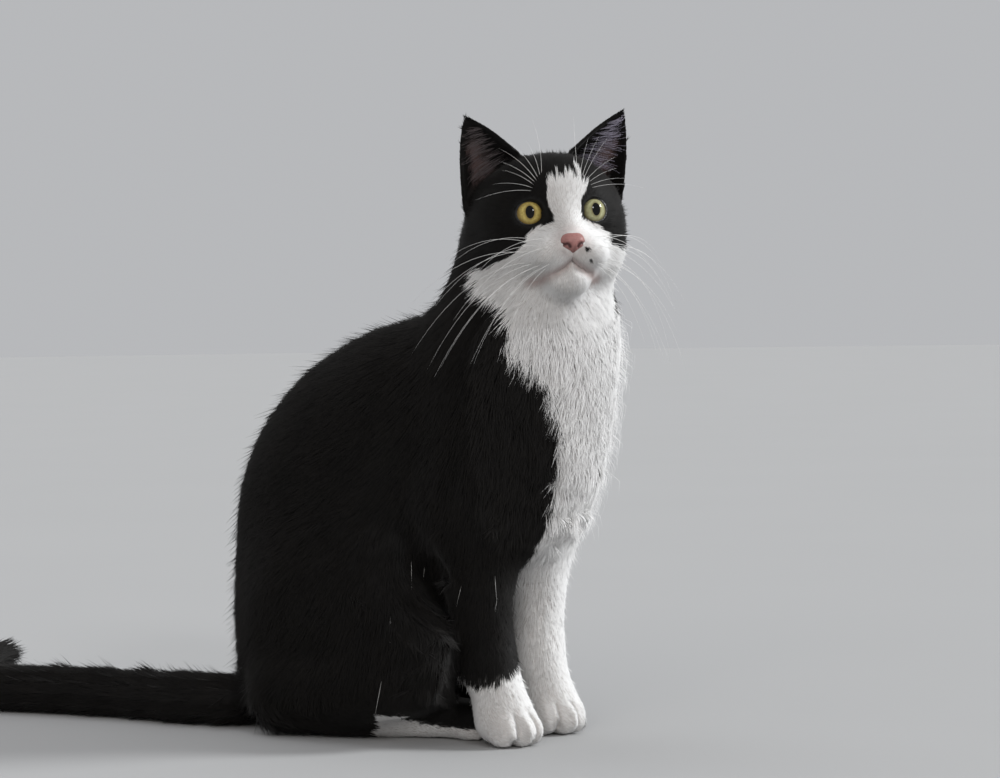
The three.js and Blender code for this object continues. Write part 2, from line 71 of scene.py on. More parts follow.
class Side(Enum):
    """One half of the cat: the sign of x there."""

    RIGHT = -1
    LEFT = 1

    @property
    def word(self) -> str:
        """The side's name in the names of nodes and pieces."""
        return self.name.lower()


# ---- numbers on a surface ----


def mm(*values: float) -> np.ndarray:
    """Millimetres as an array in metres."""
    return np.array(values, float) * MM


def unit(ways: np.ndarray) -> np.ndarray:
    """The same directions, one long."""
    return ways / np.maximum(np.linalg.norm(ways, axis=-1, keepdims=True), 1e-12)


def step(low: float, high: float, values: np.ndarray) -> np.ndarray:
    """A smooth rise from 0 at low to 1 at high; low may be the larger one."""
    share = np.clip((values - low) / (high - low), 0, 1)
    return share * share * (3 - 2 * share)


def taken(items: bpy.types.bpy_prop_collection, key: str, width: int, kind: type = float) -> np.ndarray:
    """Reads one property of many parts of a mesh.

    Args:
        items: The vertices, edges, faces or corners.
        key: The property's name.
        width: How many numbers each holds.
        kind: What they are.

    Returns:
        One row for each part.
    """
    found = np.empty(len(items) * width, kind)
    items.foreach_get(key, found)
    return found.reshape(-1, width)


def bell(values: np.ndarray, width: float) -> np.ndarray:
    """1 where values are 0, fading out smoothly over the width."""
    return np.exp(-((values / width) ** 2))


def places(mesh: bpy.types.Mesh) -> np.ndarray:
    """The places of a mesh's vertices."""
    return taken(mesh.vertices, "co", 3)


def normals(mesh: bpy.types.Mesh) -> np.ndarray:
    """The outward directions at a mesh's vertices."""
    return taken(mesh.vertices, "normal", 3)


def put(mesh: bpy.types.Mesh, points: np.ndarray) -> None:
    """Moves a mesh's vertices to these places."""
    mesh.vertices.foreach_set("co", points.astype(np.float32).ravel())
    mesh.update()


def paint(mesh: bpy.types.Mesh, name: str, values: np.ndarray) -> None:
    """Keeps values on a mesh's vertices, as an attribute that its material reads.

    Args:
        mesh: The mesh.
        name: The attribute's name.
        values: One number or one row of three or four numbers for each vertex.
    """
    width = 1 if values.ndim == 1 else values.shape[1]
    kind, key = {1: ("FLOAT", "value"), 3: ("FLOAT_VECTOR", "vector"), 4: ("FLOAT_COLOR", "color")}[width]
    layer = mesh.attributes.new(name, kind, "POINT")
    layer.data.foreach_set(key, values.astype(np.float32).ravel())


def off_path(points: np.ndarray, corners: np.ndarray) -> np.ndarray:
    """How far flat points lie from a line through corners.

    Args:
        points: Flat points, one row each.
        corners: The line's corners, in order.

    Returns:
        The distance of each point from the nearest stretch of the line.
    """
    best = np.full(len(points), np.inf)
    for a, b in zip(corners, corners[1:]):
        share = np.clip(((points - a) @ (b - a)) / ((b - a) @ (b - a)), 0, 1)
        best = np.minimum(best, np.linalg.norm(points - a - share[:, None] * (b - a), axis=1))
    return best


@dataclass(frozen=True)
class Ripple:
    """Smooth seeded noise, about -1 to 1: a few waves in random directions.

    Attributes:
        size: The usual length of a wave, in metres.
        seed: What makes this noise differ from the others.
        waves: How many waves are added up.
    """

    size: float
    seed: int
    waves: int = 12

    def at(self, points: np.ndarray) -> np.ndarray:
        """The noise at these points.

        Args:
            points: Places.

        Returns:
            One number for each.
        """
        draw = np.random.default_rng(SEED * 1000 + self.seed)
        ways = unit(draw.normal(size=(self.waves, 3)))
        turns = 2 * np.pi / (self.size * draw.uniform(0.55, 1.8, self.waves))
        phases = draw.uniform(0, 2 * np.pi, self.waves)
        return np.sin(points @ (ways * turns[:, None]).T + phases).sum(1) / math.sqrt(self.waves)


class Web:
    """The neighbours of each vertex of a mesh, for smoothing what its vertices hold."""

    def __init__(self, mesh: bpy.types.Mesh) -> None:
        """Reads the mesh's edges.

        Args:
            mesh: The mesh.
        """
        a, b = taken(mesh.edges, "vertices", 2, np.int64).T
        mine = np.concatenate([a, b])
        order = np.argsort(mine, kind="stable")
        self.near = np.concatenate([b, a])[order]
        self.count = np.bincount(mine, minlength=len(mesh.vertices))
        self.start = np.concatenate([[0], np.cumsum(self.count)[:-1]])

    def mean(self, values: np.ndarray) -> np.ndarray:
        """The mean of each vertex's neighbours.

        Args:
            values: One number or row for each vertex.

        Returns:
            One number or row for each vertex.
        """
        total = np.add.reduceat(values[self.near], self.start)
        count = self.count if values.ndim == 1 else self.count[:, None]
        return total / count

    def relax(self, values: np.ndarray, passes: int, share: np.ndarray | float = 0.5) -> np.ndarray:
        """Smooths values over the mesh.

        Args:
            values: One number or row for each vertex.
            passes: How often each value moves towards its neighbours' mean.
            share: How far it moves, the same or one for each vertex.

        Returns:
            The smoothed values.
        """
        if isinstance(share, np.ndarray) and values.ndim > 1:
            share = share[:, None]
        for _ in range(passes):
            values = values + share * (self.mean(values) - values)
        return values

    def fair(self, points: np.ndarray, passes: int, share: np.ndarray) -> np.ndarray:
        """Smooths places as relax does, then swells them again, so that nothing shrinks.

        Args:
            points: The vertices' places.
            passes: How often both are done.
            share: How far each vertex moves.

        Returns:
            The smoothed places.
        """
        for _ in range(passes):
            points = self.relax(self.relax(points, 1, share), 1, -1.03 * share)
        return points


def linked(name: str, data: bpy.types.ID) -> bpy.types.Object:
    """Puts a new object in the scene.

    Args:
        name: Its name.
        data: Its mesh, lamp or camera.

    Returns:
        The object, at the origin.
    """
    made = bpy.data.objects.new(name, data)
    bpy.context.scene.collection.objects.link(made)
    return made


def piece(name: str, mesh: bpy.types.Mesh, finish: bpy.types.Material) -> bpy.types.Object:
    """Makes a piece that rides on the cat.

    Args:
        name: Its name.
        mesh: Its mesh.
        finish: Its material.

    Returns:
        The piece.
    """
    mesh.name = name
    mesh.materials.append(finish)
    mesh.shade_smooth()
    made = linked(name, mesh)
    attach(made, ROOT)
    LOG.info("%s: %d vertices, %d faces", name, len(mesh.vertices), len(mesh.polygons))
    return made


def lofted(rings: list[np.ndarray]) -> bmesh.types.BMesh:
    """A band through rings of points, the last of which joins the first.

    Args:
        rings: Rows of places, all with the same number of points.

    Returns:
        The band, with its faces outwards.
    """
    bm = bmesh.new()
    loops = []
    for ring in rings:
        verts = bmesh.ops.create_circle(bm, segments=len(ring), radius=1.0)["verts"]
        for vert, at in zip(verts, ring):
            vert.co = at
        loops.append([bm.edges.get((verts[k - 1], verts[k])) for k in range(len(verts))])
    for here, after in zip(loops, loops[1:] + loops[:1]):
        bmesh.ops.bridge_loops(bm, edges=here + after)
    bmesh.ops.recalc_face_normals(bm, faces=bm.faces)
    return bm


def to_mesh(bm: bmesh.types.BMesh, name: str) -> bpy.types.Mesh:
    """The finished mesh of a bmesh, which is freed.

    Args:
        bm: The shape.
        name: The mesh's name.

    Returns:
        The mesh.
    """
    mesh = bpy.data.meshes.new(name)
    bm.to_mesh(mesh)
    bm.free()
    return mesh


# ---- shader maths ----


class Wire:
    """An output socket whose arithmetic adds Math nodes."""

    def __init__(self, recipe: "Recipe", socket: bpy.types.NodeSocket) -> None:
        """Wraps one socket of a material under construction."""
        self.recipe = recipe
        self.socket = socket

    def maths(self, operation: str, *values: "Wire | float") -> "Wire":
        """One Math node on these values."""
        inputs = dict(enumerate(values))
        return self.recipe.add("ShaderNodeMath", {"operation": operation}, inputs).out()

    def __add__(self, other: "Wire | float") -> "Wire":
        """self + other."""
        return self.maths("ADD", self, other)

    __radd__ = __add__

    def __sub__(self, other: "Wire | float") -> "Wire":
        """self - other."""
        return self.maths("SUBTRACT", self, other)

    def __rsub__(self, other: "Wire | float") -> "Wire":
        """other - self."""
        return self.maths("SUBTRACT", other, self)

    def __mul__(self, other: "Wire | float") -> "Wire":
        """self * other."""
        return self.maths("MULTIPLY", self, other)

    __rmul__ = __mul__

    def __truediv__(self, other: "Wire | float") -> "Wire":
        """self / other."""
        return self.maths("DIVIDE", self, other)

    def __pow__(self, other: float) -> "Wire":
        """self to a power."""
        return self.maths("POWER", self, other)

    def rise(self, low: float, high: float) -> "Wire":
        """A smooth rise from 0 at one value to 1 at another.

        Args:
            low: The value that gives 0.
            high: The value that gives 1, which may be the smaller one.

        Returns:
            The risen value.
        """
        ends = {"From Min": min(low, high), "From Max": max(low, high)}
        ends |= {"To Min": float(low > high), "To Max": float(high > low)}
        settings = {"interpolation_type": "SMOOTHSTEP"}
        return self.recipe.add("ShaderNodeMapRange", settings, {"Value": self, **ends}).out("Result")


class Step:
    """A node that has been added to a material."""

    def __init__(self, recipe: "Recipe", node: bpy.types.Node) -> None:
        """Wraps the node."""
        self.recipe = recipe
        self.node = node

    def out(self, name: str | int = 0) -> Wire:
        """One of the node's outputs."""
        return Wire(self.recipe, self.node.outputs[name])


Colour = tuple[float, float, float]


class Recipe:
    """A material under construction."""

    def __init__(self, name: str) -> None:
        """Starts a material with one Principled shader.

        Args:
            name: The material's name.
        """
        self.material = bpy.data.materials.new(name)
        self.material.use_nodes = True
        self.tree = self.material.node_tree
        self.shader = next(n for n in self.tree.nodes if n.type == "BSDF_PRINCIPLED")

    def add(self, kind: str, settings: dict | None = None, inputs: dict | None = None) -> Step:
        """Adds a node.

        Args:
            kind: The node's type.
            settings: Its own properties; "stops" are a ramp's places and colours.
            inputs: What its sockets hold, by name or number: a value, a colour or a Wire.

        Returns:
            The node, ready to be read.
        """
        node = self.tree.nodes.new(kind)
        for key, value in (settings or {}).items():
            if key == "stops":
                self.set_stops(node.color_ramp, value)
            else:
                setattr(node, key, value)
        for key, value in (inputs or {}).items():
            self.feed(node.inputs[key], value)
        return Step(self, node)

    @staticmethod
    def set_stops(ramp: bpy.types.ColorRamp, stops: list[tuple[float, Colour]]) -> None:
        """Gives a ramp these stops, at least two.

        Args:
            ramp: The ramp.
            stops: Places along it and their colours.
        """
        while len(ramp.elements) < len(stops):
            ramp.elements.new(0.5)
        for element, (at, colour) in zip(ramp.elements, stops):
            element.position = at
            element.color = (*colour, 1.0)

    def feed(self, socket: bpy.types.NodeSocket, value: object) -> None:
        """Links or sets one input.

        Args:
            socket: The input.
            value: A Wire, a colour or another value.
        """
        if isinstance(value, Wire):
            self.tree.links.new(value.socket, socket)
        elif socket.type == "RGBA" and len(value) == 3:
            socket.default_value = (*value, 1.0)
        else:
            socket.default_value = value

    def attribute(self, name: str) -> Step:
        """What the piece's mesh holds under this name."""
        return self.add("ShaderNodeAttribute", {"attribute_type": "GEOMETRY", "attribute_name": name})

    def parts(self, colour: Wire) -> tuple[Wire, Wire, Wire]:
        """A colour's or vector's three numbers."""
        split = self.add("ShaderNodeSeparateXYZ", inputs={0: colour})
        return split.out(0), split.out(1), split.out(2)

    def noise(self, scale: float, detail: float = 2.0, place: Wire | None = None) -> Wire:
        """Noise from 0 to 1.

        Args:
            scale: How many bumps there are along one unit.
            detail: How many finer layers it has.
            place: Where it is read, or none for the object's own space.

        Returns:
            The noise.
        """
        place = place or self.add("ShaderNodeTexCoord").out("Object")
        inputs = {"Vector": place, "Scale": scale, "Detail": detail}
        return self.add("ShaderNodeTexNoise", None, inputs).out(0)

    def mix(self, share: "Wire | float", a: object, b: object) -> Wire:
        """A colour between a, at 0, and b, at 1."""
        settings = {"data_type": "RGBA", "clamp_factor": True}
        return self.add("ShaderNodeMix", settings, {0: share, 6: a, 7: b}).out(2)

    def bump(self, height: Wire, distance: float) -> Wire:
        """A normal that reads as this relief, distance metres high."""
        inputs = {"Height": height, "Distance": distance, "Strength": 1.0}
        return self.add("ShaderNodeBump", None, inputs).out()

    def finish(self, **sockets: object) -> bpy.types.Material:
        """Feeds the shader and ends the work.

        Args:
            sockets: The shader's inputs, their names written with _ for a space.

        Returns:
            The material.
        """
        for name, value in sockets.items():
            self.feed(self.shader.inputs[name.replace("_", " ")], value)
        return self.material


# ---- finishes ----


@dataclass(frozen=True)
class CoatFinish:
    """Hair: black or white by the tuft, darker at the root, a little different in each tuft; the grey at the
    root of white hair is painted shade deep in the coat.

    Attributes:
        black_root, black_tip: Black hair at the skin and at its end.
        white_root, white_tip: White hair at the skin, greyed there as painted shade deep in the coat, and at
            its end.
        pink: White hair where the skin shows through it, round the nose and on the lips; the darker band
            along the mouth line is partly the lips' own tone and partly painted shade under the lip pad.
        roughness: How dull the hair is.
        gloss: How strong its shine is.
    """

    black_root: Colour = (0.0040, 0.0036, 0.0033)
    black_tip: Colour = (0.0150, 0.0132, 0.0120)
    # Painted shade: the root of white hair is greyed as if shaded deep in the coat.
    white_root: Colour = (0.78, 0.765, 0.75)
    white_tip: Colour = (0.93, 0.92, 0.91)
    pink: Colour = (0.60, 0.475, 0.45)
    roughness: float = 0.55
    gloss: float = 0.15

    def make(self) -> bpy.types.Material:
        """Mixes the hair's colours.

        Returns:
            The material; "coat" holds white share, place along the hair, shade and pink share.
        """
        r = Recipe("cat_coat")
        held = r.attribute("coat")
        white, along, shade = r.parts(held.out("Color"))
        pink = held.out("Alpha")
        black = r.mix(along * 0.6 + shade * 0.4, self.black_root, self.black_tip)
        # Painted shade: white hair greys towards its root.
        pale = r.mix(along.rise(0.0, 0.55), self.white_root, self.white_tip)
        pale = r.mix(shade * 0.22, pale, self.white_root)
        pale = r.mix(pink, pale, self.pink)
        rough = white * 0.12 + (shade * 0.1 + self.roughness)
        return r.finish(
            Base_Color=r.mix(white, black, pale), Roughness=rough,
            Specular_IOR_Level=self.gloss, Sheen_Weight=0.04, Sheen_Roughness=0.5,
        )


@dataclass(frozen=True)
class SkinFinish:
    """The skin under the coat, with its down: dark under black hair, pale under white, bare in the ears.

    Attributes:
        black, white: The skin under black and under white hair.
        black_down, white_down: The down on it.
        bare, bare_deep: Bare skin, and bare skin darkened as painted shade in the hollow of the ear and along
            the mouth.
        vein: The blotches in bare skin.
    """

    black: Colour = (0.0050, 0.0045, 0.0042)
    white: Colour = (0.64, 0.61, 0.59)
    bare: Colour = (0.125, 0.080, 0.076)
    bare_deep: Colour = (0.045, 0.026, 0.024)
    black_down: Colour = (0.010, 0.009, 0.008)
    white_down: Colour = (0.82, 0.80, 0.78)
    vein: Colour = (0.17, 0.115, 0.11)

    def make(self) -> bpy.types.Material:
        """Mixes the skin's colours.

        Returns:
            The material; "markings" holds white share, bare share and depth of shade.
        """
        r = Recipe("cat_skin")
        white, bare, deep = r.parts(r.attribute("markings").out("Vector"))
        down = r.noise(2600.0, 3.0)
        coat = r.mix(white, self.black, self.white)
        downy = r.mix(white, self.black_down, self.white_down)
        coat = r.mix(down.rise(0.35, 0.75) * 0.35, coat, downy)
        # Painted shade: bare skin darkens in the ear's hollow and along the mouth line.
        naked = r.mix(deep, self.bare, self.bare_deep)
        naked = r.mix(r.noise(420.0).rise(0.4, 0.7) * 0.3, naked, self.vein)
        return r.finish(
            Base_Color=r.mix(bare, coat, naked), Roughness=0.72 - bare * 0.2, Specular_IOR_Level=0.25,
            Normal=r.bump(down, 0.0005),
        )


@dataclass(frozen=True)
class EyeFinish:
    """One eye: an oval pupil in a fibrous iris with a dark edge, under a wet clear coat.

    Attributes:
        name: The material's name.
        inner, middle, outer: The iris from the pupil outwards.
        pupil: Half width and half height of the pupil, in iris radii.
    """

    name: str
    inner: Colour
    middle: Colour
    outer: Colour
    pupil: tuple[float, float] = (0.30, 0.45)

    def make(self) -> bpy.types.Material:
        """Mixes the eye's colours.

        Returns:
            The material; "gaze" holds the place in front of the eye, in iris radii.
        """
        r = Recipe(self.name)
        gaze = r.attribute("gaze").out("Vector")
        x, y, _ = r.parts(gaze)
        far = (x * x + y * y) ** 0.5
        across = r.add("ShaderNodeCombineXYZ", None, {0: x / self.pupil[0], 1: y / self.pupil[1]}).out()
        oval = r.add("ShaderNodeVectorMath", {"operation": "LENGTH"}, {0: across}).out("Value")
        way = r.add("ShaderNodeVectorMath", {"operation": "NORMALIZE"}, {0: gaze}).out()
        drawn = r.add("ShaderNodeMix", {"data_type": "VECTOR"}, {0: 0.12, 4: way, 5: gaze}).out(1)
        fibre = r.noise(9.0, 5.0, drawn)
        blotch = r.noise(2.2, 2.0, gaze)
        stops = [(0.30, self.inner), (0.56, self.middle), (0.80, self.outer), (0.93, (0.016, 0.013, 0.008))]
        iris = r.add("ShaderNodeValToRGB", {"stops": stops}, {0: far + (fibre - 0.5) * 0.10}).out()
        iris = r.mix(fibre.rise(0.42, 0.62) * 0.38, iris, self.outer)
        iris = r.mix(blotch.rise(0.5, 0.8) * 0.3, iris, self.inner)
        edge = oval + (fibre - 0.5) * 0.06
        iris = r.mix(edge.rise(1.5, 1.0) * 0.5, iris, (0.10, 0.06, 0.02))
        return r.finish(
            Base_Color=r.mix(edge.rise(1.04, 0.97), iris, (0.002, 0.002, 0.002)), Roughness=0.45,
            Specular_IOR_Level=0.0, Coat_Weight=1.0, Coat_Roughness=0.015, Coat_IOR=1.33,
        )


@dataclass(frozen=True)
class WetSkinFinish:
    """Bare damp skin: the nose and the rims of the lids.

    Attributes:
        name: The material's name.
        base, dark: Its colour in the open, and the darker one of its grain and of its hollows, where it is
            painted shade.
        grain: Cells of its grain on a metre.
        relief: Height of the grain.
        roughness: How dull it is.
    """

    name: str
    base: Colour
    dark: Colour
    grain: float = 1900.0
    relief: float = 0.00012
    roughness: float = 0.42

    def make(self) -> bpy.types.Material:
        """Mixes the colours of the bare skin.

        Returns:
            The material; "shade" holds how dark each place is.
        """
        r = Recipe(self.name)
        shade = r.attribute("shade").out("Fac")
        place = r.add("ShaderNodeTexCoord").out("Object")
        cells = r.add("ShaderNodeTexVoronoi", None, {"Vector": place, "Scale": self.grain}).out("Distance")
        tone = r.mix(cells.rise(0.2, 0.7) * 0.25 + r.noise(500.0) * 0.2, self.base, self.dark)
        return r.finish(
            Base_Color=r.mix(shade, tone, self.dark), Roughness=self.roughness, Specular_IOR_Level=0.45,
            Normal=r.bump(cells, self.relief),
        )


@dataclass(frozen=True)
class HairFinish:
    """Single hairs: whiskers and the fringe inside the ears.

    Attributes:
        name: The material's name.
        root, tip: The hair's colour at its two ends.
    """

    name: str
    root: Colour
    tip: Colour

    def make(self) -> bpy.types.Material:
        """Mixes the hair's colours.

        Returns:
            The material; "along" holds 0 at the root and 1 at the tip.
        """
        r = Recipe(self.name)
        along = r.attribute("along").out("Fac")
        return r.finish(Base_Color=r.mix(along, self.root, self.tip), Roughness=0.35, Specular_IOR_Level=0.5)


@dataclass(frozen=True)
class FloorFinish:
    """A plain pale studio floor."""

    colour: Colour = (0.472, 0.472, 0.472)

    def make(self) -> bpy.types.Material:
        """Mixes the floor's colour.

        Returns:
            The material: nearly one colour, with a faint mottle.
        """
        r = Recipe("studio_floor")
        tone = r.mix(r.noise(3.0), self.colour, tuple(0.97 * c for c in self.colour))
        return r.finish(Base_Color=tone, Roughness=0.7, Specular_IOR_Level=0.1)


# ---- the head's own frame ----


@dataclass(frozen=True)
class HeadFrame:
    """Where the head is and how it is turned; in it x is to the cat's left, -y ahead and z up.

    Attributes:
        centre: The middle of the head.
        turn: How far it is turned to the cat's right.
        lift: How far it is raised ahead.
        tilt: How far it leans to a side.
    """

    centre: tuple[float, float, float] = (0.0, -0.135, 0.297)
    turn: float = math.radians(39.0)
    lift: float = math.radians(6.0)
    tilt: float = math.radians(-2.2)

    @property
    def matrix(self) -> Matrix:
        """The way from the head's frame to the cat's.

        Returns:
            The transform.
        """
        turn = Matrix.Rotation(-self.turn, 4, "Z")
        lift = Matrix.Rotation(-self.lift, 4, "X")
        tilt = Matrix.Rotation(self.tilt, 4, "Y")
        return Matrix.Translation(self.centre) @ turn @ lift @ tilt

    @property
    def turned(self) -> np.ndarray:
        """The turn alone, as three rows."""
        return np.array(self.matrix.to_3x3())

    def inward(self, points: np.ndarray) -> np.ndarray:
        """Points of the cat in the head's frame."""
        return (points - np.array(self.centre)) @ self.turned

    def outward(self, points: np.ndarray) -> np.ndarray:
        """Points of the head's frame in the cat's."""
        return np.array(self.centre) + points @ self.turned.T


HEAD = HeadFrame()


@dataclass(frozen=True)
class Orbit:
    """One eye's place in the head, and the opening between its lids.

    Attributes:
        side: Which eye.
        width: Width of the opening.
        height: Height of the opening.
        splay: How far the opening looks outwards.
        corner: How much further the inner corner reaches, as a share.
        corner_angle: Where the inner corner is: below the level line, from the middle of the face.
        corner_spread: How far round the corner reaches.
    """

    side: Side
    width: float = 15.4 * MM
    height: float = 13.4 * MM
    splay: float = math.radians(12.0)
    corner: float = 0.30
    corner_angle: float = math.radians(-24.0)
    corner_spread: float = math.radians(20.0)

    @property
    def node(self) -> str:
        """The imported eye's name."""
        return f"eye_{self.side.word}"

    @property
    def centre(self) -> np.ndarray:
        """The eyeball's centre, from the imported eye."""
        low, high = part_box(self.node)
        return np.array((low + high) / 2)

    @property
    def radius(self) -> float:
        """The eyeball's radius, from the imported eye."""
        low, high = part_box(self.node)
        return (high - low).z / 2

    @property
    def turned(self) -> np.ndarray:
        """The opening's own frame.

        Returns:
            Columns inward (to the nose), ahead and up.
        """
        turn = HEAD.matrix.to_3x3() @ Matrix.Rotation(self.side.value * self.splay, 3, "Z")
        way = np.array(turn)
        return np.stack([-self.side.value * way[:, 0], -way[:, 1], way[:, 2]], 1)

    def seen(self, points: np.ndarray) -> np.ndarray:
        """Points of the cat in the opening's frame: inward, ahead and up of the eye's centre."""
        return (points - self.centre) @ self.turned

    def reach(self, angle: np.ndarray) -> np.ndarray:
        """How far the opening reaches from its middle.

        Args:
            angle: Angles from the inward direction, up being positive.

        Returns:
            The reach at each.
        """
        oval = 1 / np.hypot(np.cos(angle) * 2 / self.width, np.sin(angle) * 2 / self.height)
        off = (angle - self.corner_angle + np.pi) % (2 * np.pi) - np.pi
        return oval * (1 + self.corner * bell(off, self.corner_spread))

    def spread(self, points: np.ndarray) -> np.ndarray:
        """How far out points lie, in openings.

        Args:
            points: Places.

        Returns:
            0 in the middle of the opening, 1 on its edge, and 99 behind the eye.
        """
        inward, ahead, up = self.seen(points).T
        share = np.hypot(inward, up) / self.reach(np.arctan2(up, inward))
        return np.where(ahead > 0, share, 99.0)

    def ring(self, share: float, radius: float, count: int) -> np.ndarray:
        """A ring of points round the opening.

        Args:
            share: 1 for the edge of the opening, more further out.
            radius: Distance from the eye's centre.
            count: Number of points.

        Returns:
            The points, one row each.
        """
        angle = np.linspace(0, 2 * np.pi, count, endpoint=False)
        out = share * self.reach(angle)
        ahead = np.sqrt(np.maximum(self.radius**2 - np.minimum(out, self.radius * 0.99) ** 2, 0))
        way = unit(np.stack([np.cos(angle) * out, ahead, np.sin(angle) * out], 1))
        return self.centre + radius * way @ self.turned.T


ORBITS = [Orbit(side) for side in Side]


# ---- where the cat is black and where it is white ----


def within(points: np.ndarray, corners: np.ndarray) -> np.ndarray:
    """True for each flat point that lies inside a closed outline.

    Args:
        points: Flat points, one row each.
        corners: The outline's corners, in order.

    Returns:
        True or False for each.
    """
    x, y = points.T
    inside = np.zeros(len(points), bool)
    for (xa, ya), (xb, yb) in zip(corners, np.roll(corners, -1, 0)):
        crosses = (ya > y) != (yb > y)
        inside ^= crosses & (x < (xb - xa) * (y - ya) / (yb - ya + 1e-12) + xa)
    return inside


@dataclass(frozen=True)
class Markings:
    """The white of the coat: blaze, muzzle and bib, one white fore leg, one sock and both hind feet.

    Attributes:
        blaze: Outline of the white on the face, in the head's frame: across and up, in mm.
        throat: The same below the jaw, where the white passes on to the neck.
        cheek_back: How far back the white of the face and the throat goes, in the head's frame.
        bib_axis: How far ahead of the origin the upright axis stands that the bib is measured round.
        bib_heights: Heights where the bib's reach is given, mm.
        bib_right, bib_left: How far round each side it reaches there, in degrees.
        sock_top: Height of the white sock of the black fore leg, at its outer side.
        white_leg_top: Height of the white of the other one, ahead.
        spots: Dark spots in the white of the lip: across, ahead, up and radius, in mm.
    """

    blaze: tuple = (
        (-7.7, 23.4), (-5.0, 21.0), (-2.2, 25.5), (0.5, 21.5), (3.2, 24.0), (6.5, 22.0), (10.3, 27.2),
        (13.8, 24.0), (16.0, 19.0), (14.2, 14.2), (9.6, 7.3), (8.8, -0.1), (13.4, -6.2), (19.9, -7.7),
        (26.8, -12.2), (27.4, -17.9), (40.0, -20.2), (60.0, -23.0), (60.0, -90.0), (-62.0, -90.0),
        (-62.0, -27.0), (-46.0, -27.2), (-39.0, -25.9), (-31.2, -22.7), (-23.3, -16.1), (-20.8, -10.5),
        (-16.9, -8.4), (-12.1, -6.4), (-6.9, -4.2), (-8.4, 3.2), (-9.8, 9.3), (-9.2, 15.0),
    )
    throat: tuple = (
        (60.0, -23.0), (60.0, -90.0), (-20.0, -90.0), (-30.0, -60.0), (-40.0, -40.0), (-46.0, -27.2),
    )
    cheek_back: float = 2.0 * MM
    bib_axis: float = -0.100
    bib_heights: tuple = (90, 104, 119, 137, 153, 167, 184, 190, 205, 213, 223, 232, 241, 250, 258, 268, 285)
    bib_right: tuple = (19, 20, 21, 20, 22, 21, 23, 29, 33, 44, 51, 48, 52, 58, 63, 68, 80)
    bib_left: tuple = (85, 82, 76, 66, 56, 50, 46, 47, 50, 52, 54, 56, 60, 64, 70, 78, 84)
    sock_top: float = 31.5 * MM
    white_leg_top: float = 126.0 * MM
    spots: tuple = ((8.4, -52.4, -23.0, 1.7), (11.0, -48.6, -28.2, 1.3))

    def on_head(self, points: np.ndarray) -> np.ndarray:
        """True where the face is white.

        Args:
            points: Places on the coat.

        Returns:
            True or False for each.
        """
        local = HEAD.inward(points)
        top = step(6 * MM, 22 * MM, local[:, 2])
        spread = local * [1.0, 0.0, 0.12]
        ragged = 3.4 * MM * Ripple(1.5 * MM, 3).at(spread) + 2.4 * MM * Ripple(3.6 * MM, 4).at(spread)
        local[:, 2] += ragged * top
        white = within(local[:, [0, 2]] / MM, np.array(self.blaze)) & (local[:, 1] < self.cheek_back)
        for across, ahead, up, radius in self.spots:
            white &= np.linalg.norm(local - mm(across, ahead, up), axis=1) > radius * MM
        return white

    def on_throat(self, points: np.ndarray) -> np.ndarray:
        """True where the neck is white below the jaw."""
        local = HEAD.inward(points)
        return within(local[:, [0, 2]] / MM, np.array(self.throat)) & (local[:, 1] < self.cheek_back)

    def on_chest(self, points: np.ndarray) -> np.ndarray:
        """True where the throat, the bib and the brisket are white.

        Args:
            points: Places on the coat.

        Returns:
            True or False for each.
        """
        x, y, z = points.T
        around = np.degrees(np.arctan2(x, -(y - self.bib_axis)))
        low = np.interp(z / MM, self.bib_heights, self.bib_right)
        high = np.interp(z / MM, self.bib_heights, self.bib_left)
        brisket = (np.abs(x) < 30 * MM) & (z < 125 * MM) & (z > 40 * MM) & (y < -98 * MM) & (around > -20)
        return (around > -low) & (around < high) & (z > 88 * MM) | brisket

    def on_sock(self, points: np.ndarray) -> np.ndarray:
        """True on the white sock of the black fore leg."""
        x, _, z = points.T
        return z < self.sock_top + 0.5 * np.maximum(x + 42 * MM, 0)

    def on_hind_foot(self, points: np.ndarray) -> np.ndarray:
        """True on the white of a hind foot, which shows below the black edge of the thigh.

        Args:
            points: Places on the coat.

        Returns:
            True or False for each.
        """
        x, y, z = points.T
        low = z < 7 * MM + 0.31 * np.clip(np.abs(x) - 30 * MM, 0, 35 * MM)
        return low & (y < -38 * MM - 1.25 * z)

    def white(self, points: np.ndarray, owners: np.ndarray) -> np.ndarray:
        """How white the coat is at points of these nodes.

        Args:
            points: Places on the skin or in the coat.
            owners: The name of the node that each belongs to.

        Returns:
            1 where it is white and 0 where it is black.
        """
        ragged = 1.6 * MM * Ripple(7 * MM, 1).at(points) + 0.9 * MM * Ripple(2.4 * MM, 2).at(points)
        moved = points + ragged[:, None] * np.array([0.7, 0.2, 1.0])
        _, y, z = moved.T
        face = self.on_head(points + 0.45 * (moved - points))
        chest = self.on_chest(moved)
        foot = self.on_hind_foot(points + 0.35 * (moved - points))
        found = np.zeros(len(points), bool)
        for node, rule in {
            "head": face,
            "neck": chest | self.on_throat(moved),
            "torso": chest,
            "fore_leg_right": self.on_sock(moved) | chest,
            "fore_leg_left": (z < self.white_leg_top - 0.35 * (y + 0.1)) | chest,
            "hind_leg_right": foot,
            "hind_leg_left": foot,
        }.items():
            found |= (owners == node) & rule
        return found.astype(float)


MARKINGS = Markings()


# ---- the ears ----


